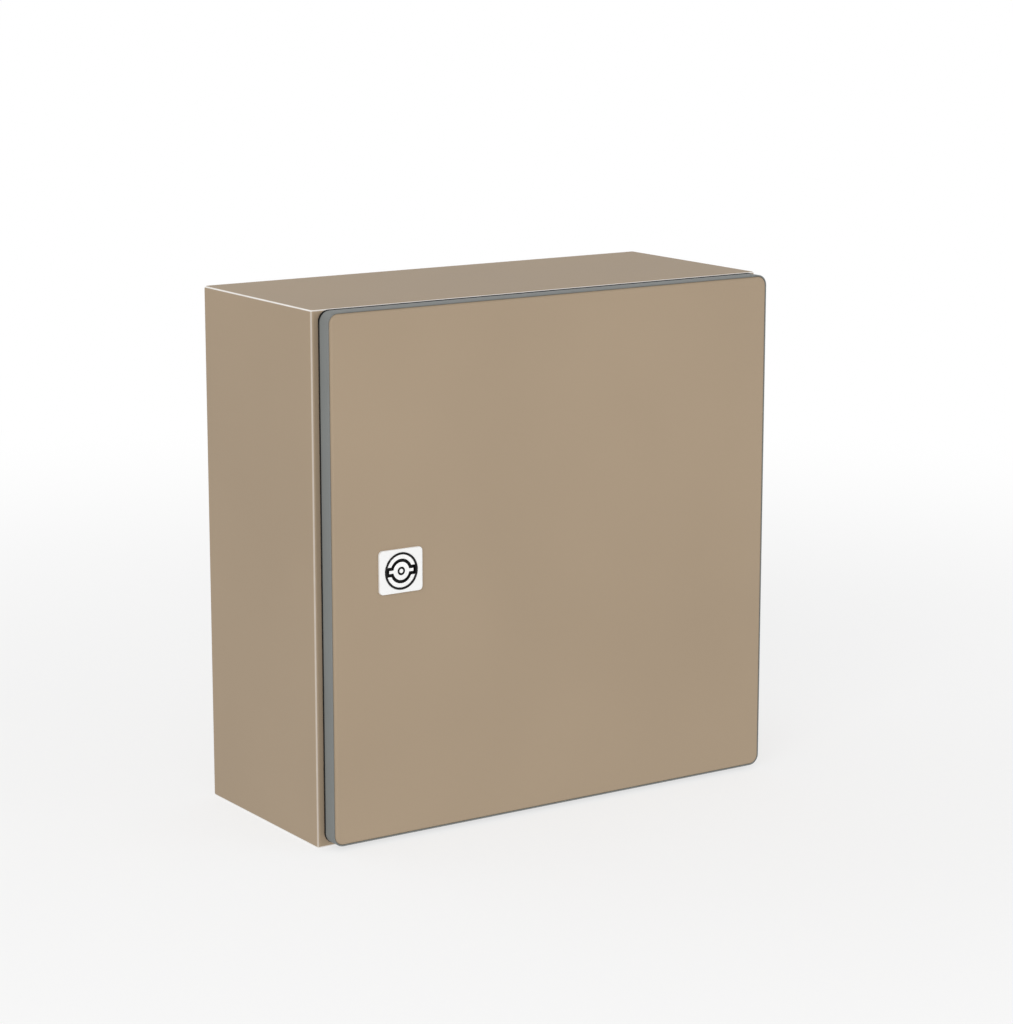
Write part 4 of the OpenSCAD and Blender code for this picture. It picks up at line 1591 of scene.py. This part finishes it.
@dataclass
class Studio:
    """White floor, even soft light and the camera."""

    floor_z: float = -250 * MM
    floor_size: float = 16.0
    floor_cuts: int = 8
    floor_colour: Colour = (0.90, 0.90, 0.90)
    floor_glow: float = 0.68
    fade: Range = (0.5, 2.0)
    fibre_scale: float = 260.0
    fibre_shades: Range = (0.985, 1.0)
    sky: float = 0.60
    ground: float = 0.85
    white: float = 1.0
    horizon: Range = (-0.15, 0.15)
    camera_place: Place = (-1564.8 * MM, -2496.8 * MM, 615.3 * MM)
    camera_target: Place = (18.4 * MM, -110 * MM, 20.7 * MM)
    lens: float = 105.39
    sensor_w: float = 36.0
    sight: float = 60.0
    lamp_target: Place = (0.0, -100 * MM, 0.0)
    lamps: Sequence[Lamp] = (
        Lamp("key_lamp", place=(-2.8, -2.7, 1.6), size=(2.4, 2.4), power=58.0),
        Lamp("fill_lamp", place=(2.2, -3.2, 1.0), size=(2.4, 2.4), power=22.0),
        Lamp("edge_lamp", place=(-0.75, 1.5, 1.5), size=(2.2, 0.5), power=5.0),
    )

    def build(self) -> None:
        """Set up the floor, the light and the camera."""
        bpy.context.scene.view_settings.view_transform = "Standard"
        self._lay_floor()
        self._light_sky()
        for lamp in self.lamps:
            lamp.hang(Vector(self.lamp_target))
        self._place_camera()
        LOG.info("studio: floor, sky, %d lamps and camera", len(self.lamps))

    @staticmethod
    def _rays(sheet: ShaderSheet, *kinds: str) -> Signal:
        """Tell some rays of light from the rest.

        Args:
            sheet: The node tree.
            kinds: Kinds of rays, as the Light Path node names them.

        Returns:
            1 for rays of these kinds, and 0 for the rest.
        """
        path = sheet.node("ShaderNodeLightPath", {}, {})
        first, *others = [Signal(sheet, path.outputs[f"Is {kind} Ray"]) for kind in kinds]
        return sum(others, first).limit()

    def _seen(self, sheet: ShaderSheet) -> Signal:
        """Return 1 for rays that show the background: from the camera, off gloss or through glass."""
        return self._rays(sheet, "Camera", "Glossy", "Transmission")

    @staticmethod
    def _mix(sheet: ShaderSheet, factor: Signal, low: Signal, high: Signal) -> Signal:
        """Return a mix of two shaders."""
        return sheet.read("ShaderNodeMixShader", {}, {0: factor, 1: low, 2: high})

    def _lay_floor(self) -> None:
        """Lay the floor and dress it in pale paper."""
        Bench.clear()
        bpy.ops.mesh.primitive_plane_add(size=self.floor_size, location=(0.0, 0.0, self.floor_z))
        floor = Bench.take("floor")
        Bench.settle(floor)
        with Bench.editing(floor):
            bpy.ops.mesh.subdivide(number_cuts=self.floor_cuts)
        material = bpy.data.materials.new("floor_paper")
        material.use_nodes = True
        self._draw_paper(ShaderSheet(material.node_tree))
        dress(floor, material)

    def _draw_paper(self, sheet: ShaderSheet) -> None:
        """Draw pale paper that turns white away from the cabinet and lets soft light through from below.

        Args:
            sheet: The floor's node tree.
        """
        x, y, _ = sheet.axes()
        glow = self.floor_glow + (1.0 - self.floor_glow) * sheet.radius(x, y).ramp(*self.fade)
        fibre = sheet.noise(sheet.place(), self.fibre_scale, detail=3.0)
        grey = sheet.vary(fibre, self.floor_colour, self.fibre_shades)
        paper = sheet.read("ShaderNodeBsdfDiffuse", {}, {"Color": grey})
        white = sheet.read("ShaderNodeEmission", {}, {"Strength": self.white})
        clear = sheet.read("ShaderNodeBsdfTransparent", {}, {})
        below = sheet.read("ShaderNodeNewGeometry", {}, {}, "Backfacing")
        through = (below + self._rays(sheet, "Diffuse")).limit()
        top = self._mix(sheet, glow * self._seen(sheet), paper, white)
        sheet.output("ShaderNodeOutputMaterial", self._mix(sheet, through, top, clear))

    def _light_sky(self) -> None:
        """Light the scene evenly from all round and show white behind it."""
        world = bpy.data.worlds.new("studio")
        world.use_nodes = True
        bpy.context.scene.world = world
        sheet = ShaderSheet(world.node_tree)
        ground, sky, white = (
            sheet.read("ShaderNodeBackground", {}, {"Color": (1.0, 1.0, 1.0, 1.0), "Strength": strength})
            for strength in (self.ground, self.sky, self.white)
        )
        _, _, rise = sheet.axes()
        soft = self._mix(sheet, rise.ramp(*self.horizon), ground, sky)
        sheet.output("ShaderNodeOutputWorld", self._mix(sheet, self._seen(sheet), soft, white))

    def _place_camera(self) -> None:
        """Stand the camera where the picture was drawn from."""
        Bench.clear()
        bpy.ops.object.camera_add(location=self.camera_place)
        camera = bpy.context.object
        camera.name = "camera"
        camera.data.lens = self.lens
        camera.data.sensor_width = self.sensor_w
        camera.data.clip_end = self.sight
        aim = Vector(self.camera_target) - Vector(self.camera_place)
        camera.rotation_euler = aim.to_track_quat("-Z", "Y").to_euler()
        bpy.context.scene.camera = camera


def main() -> None:
    """Build the looks in order."""
    logging.basicConfig(level=logging.INFO, format="%(name)s: %(message)s")
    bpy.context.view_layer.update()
    cabinet = Cabinet()
    cabinet.dress_nodes()
    cabinet.build_soft_profiles()
    cabinet.build_gaskets()
    cabinet.build_threads()
    cabinet.build_welds()
    Studio().build()


if __name__ == "__main__":
    main()
